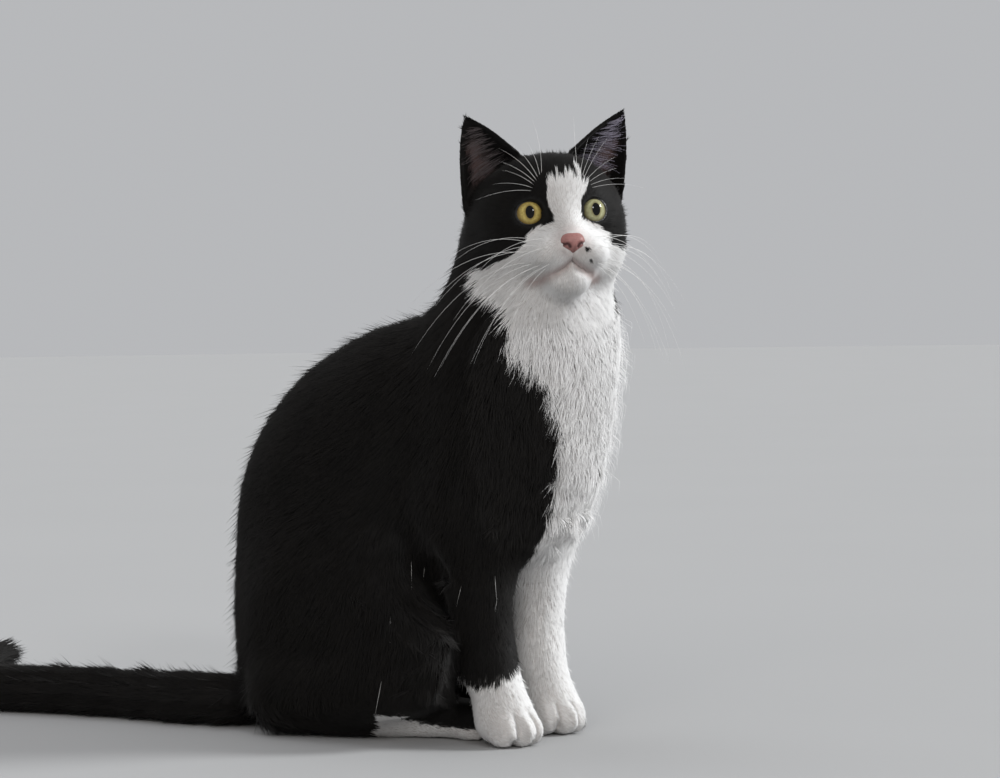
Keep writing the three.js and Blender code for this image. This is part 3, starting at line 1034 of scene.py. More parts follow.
@dataclass(frozen=True)
class Ear:
    """One ear's own measure: across its mouth, up to its tip and back into its hollow.

    Attributes:
        side: Which ear.
        root, tip: Its ends in the head's frame, for the left ear, mm.
        width: Across its mouth at the root, mm.
        lean: How far its mouth faces outwards for each part ahead.
    """

    side: Side
    root: tuple = (28.0, -1.0, 24.0)
    tip: tuple = (46.2, -12.0, 60.5)
    width: float = 52.0
    lean: float = 0.28

    @property
    def node(self) -> str:
        """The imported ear's name."""
        return f"ear_{self.side.word}"

    @property
    def rise(self) -> np.ndarray:
        """From its root to its tip."""
        return (mm(*self.tip) - mm(*self.root)) * [self.side.value, 1, 1]

    @property
    def up(self) -> np.ndarray:
        """The direction of its rise."""
        return unit(self.rise)

    @property
    def back(self) -> np.ndarray:
        """The direction into its hollow."""
        back = np.array([-self.lean * self.side.value, 1.0, 0.0])
        return unit(back - (back @ self.up) * self.up)

    @property
    def outer(self) -> np.ndarray:
        """The direction from its inner edge to its outer one."""
        return np.cross(self.back, self.up) * self.side.value

    def half_width(self, height: np.ndarray | float) -> np.ndarray:
        """Half its width, in metres, at a height from 0 at the root to 1 at the tip."""
        left = np.clip(1.0 - np.clip((height + 0.25) / 1.25, 0, 1) ** 1.08, 0.02, 1)
        return self.width * MM / 2 * left**0.72

    def seen(self, points: np.ndarray) -> tuple[np.ndarray, np.ndarray]:
        """Where points of the cat lie on this ear.

        Args:
            points: Places on it or near it.

        Returns:
            Across, from -1 on its inner edge to 1 on its outer one, and up, from 0 at the root to 1.
        """
        off = HEAD.inward(points) - mm(*self.root) * [self.side.value, 1, 1]
        height = off @ self.up / np.linalg.norm(self.rise)
        return (off @ self.outer) / self.half_width(height), height


EARS = [Ear(side) for side in Side]


# ---- the lie of the coat ----


@dataclass(frozen=True)
class Lie:
    """Which way the hair runs on each part of the cat.

    Attributes:
        nose: Where the hair of the head parts, in the head's frame.
        tail_line: The middle of the tail from its root to its tip, across and along the floor, mm.
    """

    nose: np.ndarray = field(default_factory=lambda: mm(0, -53, -13))
    tail_line: tuple = (
        (2, 34), (-36, 46), (-57, 67), (-64, 95), (-66, 126), (-72, 162), (-78, 192), (-86, 218), (-93, 242),
        (-90, 266), (-78, 286), (-58, 301), (-36, 307), (-21, 307),
    )

    def head(self, points: np.ndarray) -> np.ndarray:
        """Away from the nose, and round the eyes.

        Args:
            points: Places on the head.

        Returns:
            A direction for each, of any length.
        """
        way = unit(HEAD.inward(points) - self.nose) @ HEAD.turned.T
        for orbit in ORBITS:
            inward, ahead, up = orbit.seen(points).T
            off = np.hypot(inward, up)
            pull = 2.2 * bell(off, 11 * MM) * (ahead > 0)
            aside = np.stack([inward / (off + 1e-6), np.zeros(len(off)), up / (off + 1e-6)], 1)
            way += pull[:, None] * aside @ orbit.turned.T
        way[:, 2] -= 0.25 * step(-0.005, -0.03, HEAD.inward(points)[:, 2])
        return way

    def trunk(self, points: np.ndarray) -> np.ndarray:
        """Down the chest, and down and back over the nape, back and flanks.

        Args:
            points: Places on the neck and the torso.

        Returns:
            A direction for each, of any length.
        """
        y, z = points[:, 1], points[:, 2]
        back = step(-0.135, -0.02, y)
        low = step(0.07, 0.02, z) * step(0.02, 0.06, y)
        return np.stack([0 * y, 0.15 + 0.75 * back + 0.8 * low, -1.0 + 0.3 * back + 0.4 * low], 1)

    def fore_leg(self, points: np.ndarray) -> np.ndarray:
        """Down the leg, then ahead over the toes."""
        ahead = step(0.032, 0.016, points[:, 2]) * step(-0.105, -0.12, points[:, 1])
        return np.stack([0 * ahead, 0.12 - 1.3 * ahead, -1.0 + 0.55 * ahead], 1)

    def hind_leg(self, points: np.ndarray) -> np.ndarray:
        """Down and back over the thigh, then ahead along the foot.

        Args:
            points: Places on a hind leg.

        Returns:
            A direction for each, of any length.
        """
        foot = step(0.032, 0.02, points[:, 2])
        back = step(-0.09, 0.02, points[:, 1])
        return np.stack([0 * foot, (0.05 + 0.55 * back) * (1 - foot) - foot, -1.0 + 0.8 * foot], 1)

    def tail(self, points: np.ndarray) -> np.ndarray:
        """Along the tail to its tip.

        Args:
            points: Places on the tail.

        Returns:
            A direction for each, of any length.
        """
        line = np.array(self.tail_line, float) * MM
        middles = (line[1:] + line[:-1]) / 2
        near = np.linalg.norm(points[:, None, :2] - middles[None], axis=2).argmin(1)
        way = unit(line[1:] - line[:-1])[near]
        return np.column_stack([way, np.zeros(len(way))])

    def raw(self, points: np.ndarray, owners: np.ndarray) -> np.ndarray:
        """The way of the hair before it is laid on the skin.

        Args:
            points: Places on the skin.
            owners: The name of the node that each belongs to.

        Returns:
            A direction for each, one long.
        """
        way = self.trunk(points)
        rules = {"head": self.head, "fore_leg": self.fore_leg, "hind_leg": self.hind_leg, "tail": self.tail}
        for part, rule in rules.items():
            chosen = np.char.startswith(owners, part)
            way[chosen] = rule(points[chosen])
        for ear in EARS:
            way[owners == ear.node] = HEAD.turned @ ear.up
        return unit(way)


LIE = Lie()


# ---- the skin ----


@dataclass(frozen=True)
class Pelt:
    """The coat of one part.

    Attributes:
        length: Length of a tuft, mm.
        depth: How deep the coat is, mm: the skin lies this far inside the solids.
        width: Width of a tuft at its root, mm.
        density: Tufts on a square millimetre.
        unrest: How far tufts stray from the lie and from one another, 0 to 1.
    """

    length: float
    depth: float
    width: float
    density: float
    unrest: float

    @property
    def row(self) -> list[float]:
        """The five numbers, lengths in metres."""
        return [self.length * MM, self.depth * MM, self.width * MM, self.density, self.unrest]


PAIRED_PELTS = {
    "ear": Pelt(3.0, 0.35, 0.26, 4.4, 0.10),
    "fore_leg": Pelt(6.5, 1.7, 0.38, 2.2, 0.14),
    "hind_leg": Pelt(13, 3.4, 0.55, 1.25, 0.20),
}
PELTS = {
    "head": Pelt(5.8, 1.8, 0.32, 3.6, 0.12),
    "neck": Pelt(14, 4.4, 0.55, 1.5, 0.24),
    "torso": Pelt(14, 4.0, 0.58, 1.15, 0.20),
}
PELTS |= {f"{part}_{side.word}": pelt for part, pelt in PAIRED_PELTS.items() for side in Side}
PELTS |= {f"tail_{k}": Pelt(13, 3.6, 0.55, 1.1, 0.20) for k in (1, 2, 3, 4)}
FACE_PELT = Pelt(2.3, 0.7, 0.20, 8.0, 0.09)
PAW_PELT = Pelt(2.8, 0.8, 0.26, 4.2, 0.10)
CHEST_PELT = Pelt(15, 7.6, 0.44, 2.3, 0.40)


@dataclass(frozen=True)
class Paw:
    """One paw, whose round toes stand side by side.

    Attributes:
        at: Middle of the paw on the floor, across and along, mm.
        width: Across the toes, mm.
        splay: Turned outwards, degrees.
        side: Which side of the cat.
        toes: How many it has.
        reach: How far ahead of its middle the toes stand, mm.
        set_back: How much less the outer ones do, mm.
        height: Height of the middle of the toes, mm.
        sizes: Half sizes of a toe, mm; across as a share of the pitch.
    """

    at: tuple[float, float]
    width: float
    splay: float
    side: Side
    toes: int = 4
    reach: float = 16.8
    set_back: float = 4.0
    height: float = 8.9
    sizes: tuple[float, float, float] = (0.57, 9.0, 9.6)

    def clefts(self, points: np.ndarray) -> tuple[np.ndarray, np.ndarray]:
        """Where points lie among the toes.

        Args:
            points: Places.

        Returns:
            How far outside the nearest toe each lies, and how much farther off the next toe is.
        """
        angle = math.radians(self.splay * self.side.value)
        ahead = np.array([math.sin(angle), -math.cos(angle)])
        across = np.array([-ahead[1], ahead[0]])
        pitch = self.width / self.toes
        sizes = mm(self.sizes[0] * pitch, *self.sizes[1:])
        rows = []
        for place in np.arange(self.toes) - (self.toes - 1) / 2:
            middle = across * place * pitch + ahead * (self.reach - self.set_back * place**2)
            off = points[:, :2] - (mm(*self.at) + middle * MM)
            seen = np.stack([off @ across, off @ ahead, points[:, 2] - self.height * MM], 1) / sizes
            near = np.linalg.norm(seen, axis=1)
            slope = np.linalg.norm(seen / sizes, axis=1)
            rows.append(near * (near - 1) / np.maximum(slope, 1e-9))
        first, second = np.sort(rows, axis=0)[:2]
        return first, second - first


PAWS = (
    Paw((-26.0, -119.0), 36.0, -4.0, Side.RIGHT), Paw((26.0, -112.0), 36.0, -4.0, Side.LEFT),
    Paw((-19.0, -86.0), 29.0, -24.0, Side.RIGHT), Paw((19.0, -86.0), 29.0, -24.0, Side.LEFT),
)


@dataclass
class Skin:
    """The one skin of the cat, and what the coat needs to know at each of its vertices.

    Attributes:
        voxel: Fineness of the first mesh.
        closing: How far each solid grows so that the thin gaps between them close.
        body_faces: Triangles for all but the face, the ears and the toes.
        mouth: The line between the lips on one side, across and up in the head's frame, mm.
        philtrum: The crease from the nose down to the mouth, likewise.
        cleft: How deep the skin is drawn in between two toes.
        flesh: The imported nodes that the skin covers.
    """

    voxel: float = 1.05 * MM
    closing: float = 0.35 * MM
    body_faces: int = 66_000
    mouth: tuple = ((0.0, -27.5), (4.3, -31.0), (9.9, -34.0), (15.0, -36.0), (19.0, -35.6))
    philtrum: tuple = ((0.0, -22.5), (0.0, -28.0))
    cleft: float = 1.7 * MM
    flesh: list[str] = field(default_factory=lambda: sorted(PELTS))

    def gathered(self) -> bpy.types.Mesh:
        """Copies the solids of flesh, grown until they touch, and fills the eye sockets.

        Returns:
            One mesh of all.
        """
        whole = bmesh.new()
        for name in self.flesh:
            one = bmesh.new()
            one.from_mesh(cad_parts[name].data)
            bmesh.ops.remove_doubles(one, verts=one.verts, dist=1e-6)
            one.normal_update()
            for vert in one.verts:
                vert.co += vert.normal * self.closing
            mesh = to_mesh(one, "flesh")
            whole.from_mesh(mesh)
            bpy.data.meshes.remove(mesh)
        for orbit in ORBITS:
            bmesh.ops.create_uvsphere(
                whole, u_segments=32, v_segments=24, radius=orbit.radius + 0.6 * MM,
                matrix=Matrix.Translation(orbit.centre),
            )
        return to_mesh(whole, "cat_skin")

    def remeshed(self, mesh: bpy.types.Mesh) -> bpy.types.Object:
        """One closed skin over the gathered solids, finer on the head than on the body.

        Args:
            mesh: The gathered solids.

        Returns:
            The skin as an object, not yet shaped.
        """
        made = linked("cat_skin", mesh)
        grid = made.modifiers.new("one skin", "REMESH")
        grid.mode = "VOXEL"
        grid.voxel_size = self.voxel
        self.settle(made)
        points = places(made.data)
        kept = self.detailed(points)
        fine = 2 * kept[taken(made.data.polygons, "vertices", 4, np.int64)].all(1).sum()
        put(made.data, Web(made.data).relax(points, 3))
        group = made.vertex_groups.new(name="spare")
        group.add(np.flatnonzero(~kept).tolist(), 1.0, "REPLACE")
        thin = made.modifiers.new("fewer on the body", "DECIMATE")
        thin.vertex_group = group.name
        thin.ratio = (fine + self.body_faces) / (2 * len(made.data.polygons))
        LOG.info("first skin: %d triangles, %d of them detailed", 2 * len(made.data.polygons), fine)
        self.settle(made)
        self.refine(made.data)
        return made

    @staticmethod
    def detailed(points: np.ndarray) -> np.ndarray:
        """Tells where the mesh stays fine: on the face, the ears and the toes.

        Args:
            points: Places.

        Returns:
            True or False for each.
        """
        x, y, z = HEAD.inward(points).T / MM
        face = (y < -8) & (z > -48) & (np.abs(x) < 44) & (y > -62) & (z < 30)
        ears = (z > 24) & (np.abs(x) > 8) & (z < 66) & (np.abs(x) < 66)
        toes = np.min([paw.clefts(points)[0] for paw in PAWS], axis=0)
        return face | ears | (toes < 3.5 * MM)

    def refine(self, mesh: bpy.types.Mesh) -> None:
        """Halves the edges on the front of the face and on the toes.

        Args:
            mesh: The skin's mesh.
        """
        points = places(mesh)
        x, y, z = HEAD.inward(points).T / MM
        toes = np.min([paw.clefts(points)[0] for paw in PAWS[:2]], axis=0) < 1.2 * MM
        fine = (y < -27) & (np.abs(x) < 30) & (z > -42) & (z < 14) | toes
        bm = bmesh.new()
        bm.from_mesh(mesh)
        edges = [edge for edge in bm.edges if all(fine[vert.index] for vert in edge.verts)]
        bmesh.ops.subdivide_edges(bm, edges=edges, cuts=1, use_grid_fill=True)
        bmesh.ops.triangulate(bm, faces=[face for face in bm.faces if len(face.verts) > 3])
        bm.to_mesh(mesh)
        bm.free()

    @staticmethod
    def settle(made: bpy.types.Object) -> None:
        """Applies an object's modifiers.

        Args:
            made: The object.
        """
        graph = bpy.context.evaluated_depsgraph_get()
        mesh = bpy.data.meshes.new_from_object(made.evaluated_get(graph))
        made.modifiers.clear()
        made.vertex_groups.clear()
        old, made.data = made.data, mesh
        bpy.data.meshes.remove(old)
        mesh.name = made.name

    def find_owners(self, points: np.ndarray) -> np.ndarray:
        """Finds the nearest solid of flesh for each point.

        Args:
            points: Places.

        Returns:
            The solids' names.
        """
        verts, faces, names = [], [], []
        for name in self.flesh:
            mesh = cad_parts[name].data
            first = len(verts)
            verts += [v.co.copy() for v in mesh.vertices]
            faces += [[first + k for k in p.vertices] for p in mesh.polygons]
            names += [name] * len(mesh.polygons)
        tree = BVHTree.FromPolygons(verts, faces)
        names = np.array(names)
        return names[[tree.find_nearest(Vector(p))[2] for p in points]]

    def pelt_fields(self, points: np.ndarray) -> np.ndarray:
        """Works out what the coat is like at each vertex.

        Args:
            points: The vertices.

        Returns:
            Rows of length, depth, width, density and unrest.
        """
        owners = self.owners
        rows = np.array([PELTS[name].row for name in self.flesh])
        fields = rows[np.searchsorted(self.flesh, owners)]
        local = HEAD.inward(points)
        off = np.linalg.norm((local - mm(0, -50, -17)) * [1.0, 1.0, 0.8], axis=1)
        face = step(46 * MM, 14 * MM, off) * (owners == "head")
        paw = step(46 * MM, 20 * MM, points[:, 2]) * np.char.startswith(owners, "fore")
        foot = step(34 * MM, 24 * MM, points[:, 2]) * np.char.startswith(owners, "hind")
        paw = np.maximum(paw, foot * step(-20 * MM, -50 * MM, points[:, 1]))
        chest = step(-118 * MM, -138 * MM, points[:, 1]) * step(110 * MM, 150 * MM, points[:, 2])
        chest *= np.isin(owners, ["torso", "neck"]) * step(0.0, -0.02, local[:, 2] + 0.035)
        chest += 0.55 * step(70 * MM, 125 * MM, points[:, 2]) * np.char.startswith(owners, "fore")
        for share, pelt in [(face, FACE_PELT), (paw, PAW_PELT), (chest, CHEST_PELT)]:
            fields = fields + share[:, None] * (np.array(pelt.row) - fields)
        return self.web.relax(fields, 30)

    def open_eyes(self, points: np.ndarray) -> np.ndarray:
        """Draws the skin in behind each opening, and keeps the lids in front of the eyeball.

        Args:
            points: The vertices.

        Returns:
            Their new places.
        """
        for orbit in ORBITS:
            off = points - orbit.centre
            far = np.linalg.norm(off, axis=1)
            share = orbit.spread(points)
            near = far < orbit.radius + 6 * MM
            lid = np.maximum(far, orbit.radius + 0.9 * MM)
            pocket = step(0.98, 1.12, share)
            target = (orbit.radius - 0.9 * MM) + pocket * (lid - orbit.radius + 0.9 * MM)
            chosen = near & (share < 1.9)
            points = np.where(chosen[:, None], orbit.centre + off * (target / far)[:, None], points)
        return points

    def off_line(self, local: np.ndarray, line: tuple) -> np.ndarray:
        """How far points of the head's frame lie from a line across the front of the muzzle."""
        flat = np.stack([np.abs(local[:, 0]), local[:, 2]], 1)
        return np.where(local[:, 1] < -24 * MM, off_path(flat, np.array(line) * MM), 1.0)

    def cut_mouth(self, points: np.ndarray) -> np.ndarray:
        """Draws the skin in along the mouth and the crease under the nose.

        Args:
            points: The vertices.

        Returns:
            Their new places.
        """
        local = HEAD.inward(points)
        aside = np.abs(local[:, 0])
        fading = step(17 * MM, 5 * MM, aside)
        mouth = 2.0 * MM * fading * bell(self.off_line(local, self.mouth), 1.0 * MM)
        line = np.interp(aside / MM, *np.array(self.mouth).T) * MM
        below = bell(line - local[:, 2] - 2.0 * MM, 3.0 * MM) * (local[:, 1] < -24 * MM)
        mouth += 2.0 * MM * step(16 * MM, 8 * MM, aside) * below
        crease = 1.2 * MM * bell(self.off_line(local, self.philtrum), 0.8 * MM)
        local[:, 1] += np.maximum(mouth, crease)
        return HEAD.outward(local)

    def part_toes(self, points: np.ndarray, ways: np.ndarray) -> np.ndarray:
        """Draws the skin in between the toes.

        Args:
            points: The vertices.
            ways: Their outward directions.

        Returns:
            Their new places.
        """
        for paw in PAWS:
            over, gap = paw.clefts(points)
            deep = bell(gap, 1.5 * MM) * step(4.5 * MM, 1.5 * MM, over)
            points = points - ways * (self.cleft * deep)[:, None]
        return points

    def ear_fields(self, points: np.ndarray, ways: np.ndarray) -> tuple[np.ndarray, np.ndarray]:
        """The hollows of the ears.

        Args:
            points: The skin's vertices.
            ways: Its outward directions there.

        Returns:
            How much each vertex belongs to a hollow, and to its bare part, 0 to 1.
        """
        hollow, bare = np.zeros((2, len(points)))
        for ear in EARS:
            inside = (self.owners == ear.node) * step(0.05, 0.45, -ways @ (HEAD.turned @ ear.back))
            across, up = ear.seen(points)
            across = across + 0.10 * Ripple(5 * MM, 41).at(points)
            band = step(-0.22, 0.20, across) * step(0.74, 0.42, across)
            hollow += inside
            bare += inside * band * step(-0.10, 0.15, up) * step(0.74, 0.48, up)
        return hollow, bare

    def build(self) -> None:
        """Makes the skin and keeps its fields."""
        self.object = self.remeshed(self.gathered())
        mesh = self.object.data
        self.web = Web(mesh)
        points = places(mesh)
        self.owners = self.find_owners(points)
        calm = {"torso": 1.0, "neck": 1.0, "head": 0.22}
        shares = np.array([calm.get(name, 0.5) for name in self.flesh])
        share = shares[np.searchsorted(self.flesh, self.owners)]
        share = np.where(np.char.startswith(self.owners, "ear"), 0.10, share)
        low_ahead = (points[:, 2] < 0.026) & (points[:, 1] < -0.06)
        share = self.web.relax(np.where(low_ahead, 0.15, share), 6)
        points = self.web.fair(points, 12, 0.6 * share)
        self.fields = self.pelt_fields(points)
        put(mesh, points)
        depth = self.fields[:, 1] + self.closing
        points = points - normals(mesh) * depth[:, None]
        points = self.web.fair(points, 2, 0.5 * share)
        put(mesh, points)
        points = self.part_toes(points, normals(mesh))
        points = self.cut_mouth(self.open_eyes(points))
        points[:, 2] = np.maximum(points[:, 2], 0.25 * MM)
        put(mesh, points)
        self.points, self.ways = points, normals(mesh)
        hollow, bare = self.ear_fields(points, self.ways)
        self.hollow, self.bare = self.web.relax(hollow, 2), self.web.relax(bare, 2)
        self.lie = self.laid(LIE.raw(points, self.owners))
        self.paint()
        self.tree = BVHTree.FromPolygons(points.tolist(), [list(p.vertices) for p in mesh.polygons])

    def flat(self, way: np.ndarray) -> np.ndarray:
        """Directions at the vertices turned into the skin."""
        return unit(way - (way * self.ways).sum(1)[:, None] * self.ways)

    def laid(self, way: np.ndarray) -> np.ndarray:
        """Lays directions on the skin and evens them out over it.

        Args:
            way: A direction for each vertex.

        Returns:
            The laid directions, one long.
        """
        for _ in range(3):
            way = self.web.relax(self.flat(way), 5)
        return self.flat(way)

    def paint(self) -> None:
        """Unwraps the skin, keeps its markings and dresses it."""
        mesh = self.object.data
        ahead = self.points + self.lie * (0.5 * self.fields[:, 0])[:, None]
        white = self.web.relax(MARKINGS.white(ahead, self.owners), 1)
        local = HEAD.inward(self.points)
        lips = bell(self.off_line(local, self.mouth), 1.0 * MM) * step(13 * MM, 5 * MM, np.abs(local[:, 0]))
        # Painted shade: the bare skin is darkened in the ear's hollow round its bare part and along the mouth
        # line; the mouth line also takes bare skin's colour, partly the lips' own tone and partly painted
        # shade.
        deep = 0.55 * self.hollow * (1 - self.bare) + 0.8 * lips
        paint(mesh, "markings", np.stack([white, np.maximum(self.bare, 0.7 * lips), deep], 1))
        bpy.context.view_layer.objects.active = self.object
        self.object.select_set(True)
        bpy.ops.object.mode_set(mode="EDIT")
        bpy.ops.mesh.select_all(action="SELECT")
        bpy.ops.uv.smart_project(angle_limit=1.15, island_margin=0.002, scale_to_bounds=True)
        bpy.ops.object.mode_set(mode="OBJECT")
        mesh.uv_layers.active.name = "OFBake"
        mesh.shade_smooth()
        mesh.materials.append(SkinFinish().make())
        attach(self.object, ROOT)
        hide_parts(*self.flesh)
        LOG.info("%s: %d vertices, %d faces", self.object.name, len(mesh.vertices), len(mesh.polygons))


# ---- the face ----


@dataclass
class Eye:
    """An eyeball with its clear bulge, and the dark rim of the lids round it.

    Attributes:
        orbit: Where it sits.
        finish: Its colours.
        gaze: How far the pupil is turned inwards and up from the middle of the opening.
        iris: Radius of the iris.
        bulge: How far the clear front stands out in the middle.
        around: Corners round the eyeball and round the rim.
        rim_rings: The rim's rings: their size in openings, and how far they stand off the eyeball, mm.
    """

    orbit: Orbit
    finish: EyeFinish
    gaze: tuple[float, float]
    iris: float = 8.1 * MM
    bulge: float = 0.7 * MM
    around: int = 96
    rim_rings: tuple = (
        (0.86, -0.9), (0.89, 0.15), (0.96, 0.75), (1.09, 1.10), (1.22, 1.0), (1.34, 0.2), (1.15, -0.9),
    )

    def ball(self) -> None:
        """Makes the eyeball: a sphere with its pole on the pupil, bulged in front."""
        inward, up = self.gaze
        line = unit(np.array([math.tan(inward), 1.0, math.tan(up)]))
        pole = self.orbit.turned @ line
        turn = Vector(pole).to_track_quat("Z", "Y").to_matrix().to_4x4()
        bm = bmesh.new()
        bmesh.ops.create_uvsphere(
            bm, u_segments=self.around, v_segments=64, radius=self.orbit.radius,
            matrix=Matrix.Translation(self.orbit.centre) @ turn,
        )
        mesh = to_mesh(bm, self.orbit.node)
        points = places(mesh)
        off = (points - self.orbit.centre) / self.orbit.radius
        front = off @ pole
        points += off * (self.bulge * step(0.66, 1.0, front))[:, None]
        put(mesh, points)
        seen = self.orbit.seen(points)
        level = unit(np.cross(line, [0.0, 0.0, 1.0]))
        gaze = np.stack([seen @ level, seen @ np.cross(level, line), front * self.orbit.radius], 1)
        gaze = gaze / self.iris
        gaze[:, :2] += (front < 0)[:, None] * 2.0
        paint(mesh, "gaze", gaze)
        made = piece(f"{self.orbit.node}_ball", mesh, self.finish.make())
        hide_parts(self.orbit.node)

    def rim(self, finish: bpy.types.Material) -> None:
        """Makes the bare dark rim of the lids, lying on the eyeball.

        Args:
            finish: What it is made of.
        """
        orbit = self.orbit
        rings = [orbit.ring(share, orbit.radius + proud * MM, self.around) for share, proud in self.rim_rings]
        mesh = to_mesh(lofted(rings), f"lids_{orbit.side.word}")
        inward, _, up = orbit.seen(places(mesh)).T
        corner = np.hypot(inward - 8.2 * MM, up + 3.4 * MM)
        paint(mesh, "shade", 1.0 - 0.45 * bell(corner, 1.6 * MM))
        piece(mesh.name, mesh, finish)


@dataclass
class Nose:
    """The nose pad: broad above, narrow below, with a comma-shaped nostril on each side.

    Attributes:
        centre: Its middle, in the head's frame.
        sizes: Half width, half depth and half height.
        nostrils: For one side, the line of the nostril, across and up from the middle.
    """

    centre: np.ndarray = field(default_factory=lambda: mm(0, -50.9, -18.2))
    sizes: np.ndarray = field(default_factory=lambda: mm(7.3, 5.4, 6.0))
    nostrils: tuple = ((2.3, -2.9), (2.9, -1.9), (4.0, -1.3), (5.2, -1.5), (6.2, -1.2))

    def build(self) -> None:
        """Makes the nose pad."""
        bm = bmesh.new()
        bmesh.ops.create_icosphere(bm, subdivisions=6, radius=1.0)
        mesh = to_mesh(bm, "nose_pad")
        x, y, z = places(mesh).T
        below = step(-0.3, -1.0, z)
        narrow = 1.0 - 0.60 * below
        flat = 1.0 - 0.10 * step(0.2, 0.9, z)
        local = np.stack([x * narrow, y * flat, z * (1 + 0.05 * np.abs(x))], 1) * self.sizes
        front = step(0.1, -0.5, y)
        dimple = bell(local[:, 0], 0.9 * MM) * below
        local[:, 1] += 0.9 * MM * dimple * front
        aside = (np.abs(local[:, 0]) - 4.3 * MM) / (1.8 * MM)
        raised = (local[:, 2] + 0.2 * MM) / (2.2 * MM)
        wing = np.exp(-(aside**2 + raised**2))
        local[:, 1] -= 0.55 * MM * wing * front
        pit = bell(self.off_nostril(local), 0.85 * MM) * front
        local[:, 1] += 1.0 * MM * pit
        # Painted shade: nearly black in the nostrils and darker in the groove down the middle; the pad is
        # also darker towards its bottom.
        paint(mesh, "shade", np.clip(1.25 * pit + 0.35 * dimple * front + 0.25 * below, 0, 1))
        put(mesh, HEAD.outward(self.centre + local))
        finish = WetSkinFinish("nose_leather", (0.42, 0.195, 0.175), (0.060, 0.016, 0.015))
        piece("nose_pad", mesh, finish.make())

    def off_nostril(self, local: np.ndarray) -> np.ndarray:
        """How far points lie from the line of the nearer nostril."""
        flat = np.stack([np.abs(local[:, 0]), local[:, 2]], 1)
        return off_path(flat, np.array(self.nostrils) * MM)

    def covers(self, local: np.ndarray) -> np.ndarray:
        """Tells where the nose pad lies, so that no hair grows there.

        Args:
            local: Points in the head's frame.

        Returns:
            True or False for each.
        """
        off = (local - self.centre) / (self.sizes * np.array([1.0, 1.6, 0.98]))
        off[:, 0] /= 1.0 - 0.50 * step(-0.3, -1.0, off[:, 2])
        nostril = (self.off_nostril(local - self.centre) < 1.1 * MM) & (local[:, 1] < -44 * MM)
        return (np.linalg.norm(off, axis=1) < 1.0) | nostril


# ---- hair ----


def tubes(name: str, lines: np.ndarray, radius: np.ndarray, sides: int = 5) -> bpy.types.Mesh:
    """Many hairs as closed tapered tubes, joined in one mesh.

    Args:
        name: The mesh's name.
        lines: For each hair, the points along it.
        radius: For each hair, its radius at each point.
        sides: Corners of each tube.

    Returns:
        The mesh, with "along" on its vertices.
    """
    count, steps, _ = lines.shape
    way = unit(np.gradient(lines, axis=1))
    across = unit(np.cross(way, np.array([0.31, 0.22, 0.93])))
    other = np.cross(way, across)
    angle = np.linspace(0, 2 * np.pi, sides, endpoint=False)
    ring = np.cos(angle)[:, None] * across[:, :, None] + np.sin(angle)[:, None] * other[:, :, None]
    points = lines[:, :, None] + ring * radius[:, :, None, None]
    here = np.arange(steps - 1)[:, None] * sides + np.arange(sides)
    after = np.arange(steps - 1)[:, None] * sides + (np.arange(sides) + 1) % sides
    walls = np.stack([here, here + sides, after + sides, after], -1).reshape(-1, 4)
    walls = np.concatenate([walls[:, [0, 1, 2]], walls[:, [0, 2, 3]]])
    fan = np.arange(1, sides - 1)
    root = np.stack([0 * fan, fan, fan + 1], 1)
    tip = root[:, ::-1] + (steps - 1) * sides
    faces = np.concatenate([walls, root, tip])
    along = np.repeat(np.linspace(0, 1, steps), sides)
    return many(name, points.reshape(count, -1, 3), faces, {"along": along})


def many(
    name: str,
    points: np.ndarray,
    faces: np.ndarray,
    held: dict[str, np.ndarray],
    places_on_map: np.ndarray | None = None,
) -> bpy.types.Mesh:
    """One mesh of many like pieces.

    Args:
        name: The mesh's name.
        points: For each piece, its points.
        faces: The triangles of one piece, facing outwards or all inwards.
        held: Values for the vertices: one for each point of a piece, or one for each vertex of all.
        places_on_map: For each vertex, its place on the bake's map.

    Returns:
        The mesh.
    """
    count, size, _ = points.shape
    a, b, c = ((points[0] - points[0].mean(0))[faces[:, k]] for k in range(3))
    if (np.cross(a, b) * c).sum() < 0:
        faces = faces[:, ::-1]
    corners = (faces[None] + (np.arange(count) * size)[:, None, None]).reshape(-1)
    mesh = bpy.data.meshes.new(name)
    mesh.vertices.add(count * size)
    mesh.loops.add(len(corners))
    mesh.polygons.add(len(corners) // 3)
    mesh.vertices.foreach_set("co", points.astype(np.float32).ravel())
    mesh.loops.foreach_set("vertex_index", corners.astype(np.int32))
    mesh.polygons.foreach_set("loop_start", np.arange(0, len(corners), 3, dtype=np.int32))
    for key, values in held.items():
        paint(mesh, key, values if len(values) == count * size else np.tile(values, count))
    if places_on_map is not None:
        layer = mesh.uv_layers.new(name="OFBake")
        layer.uv.foreach_set("vector", places_on_map[corners].astype(np.float32).ravel())
    mesh.update(calc_edges=True)
    return mesh


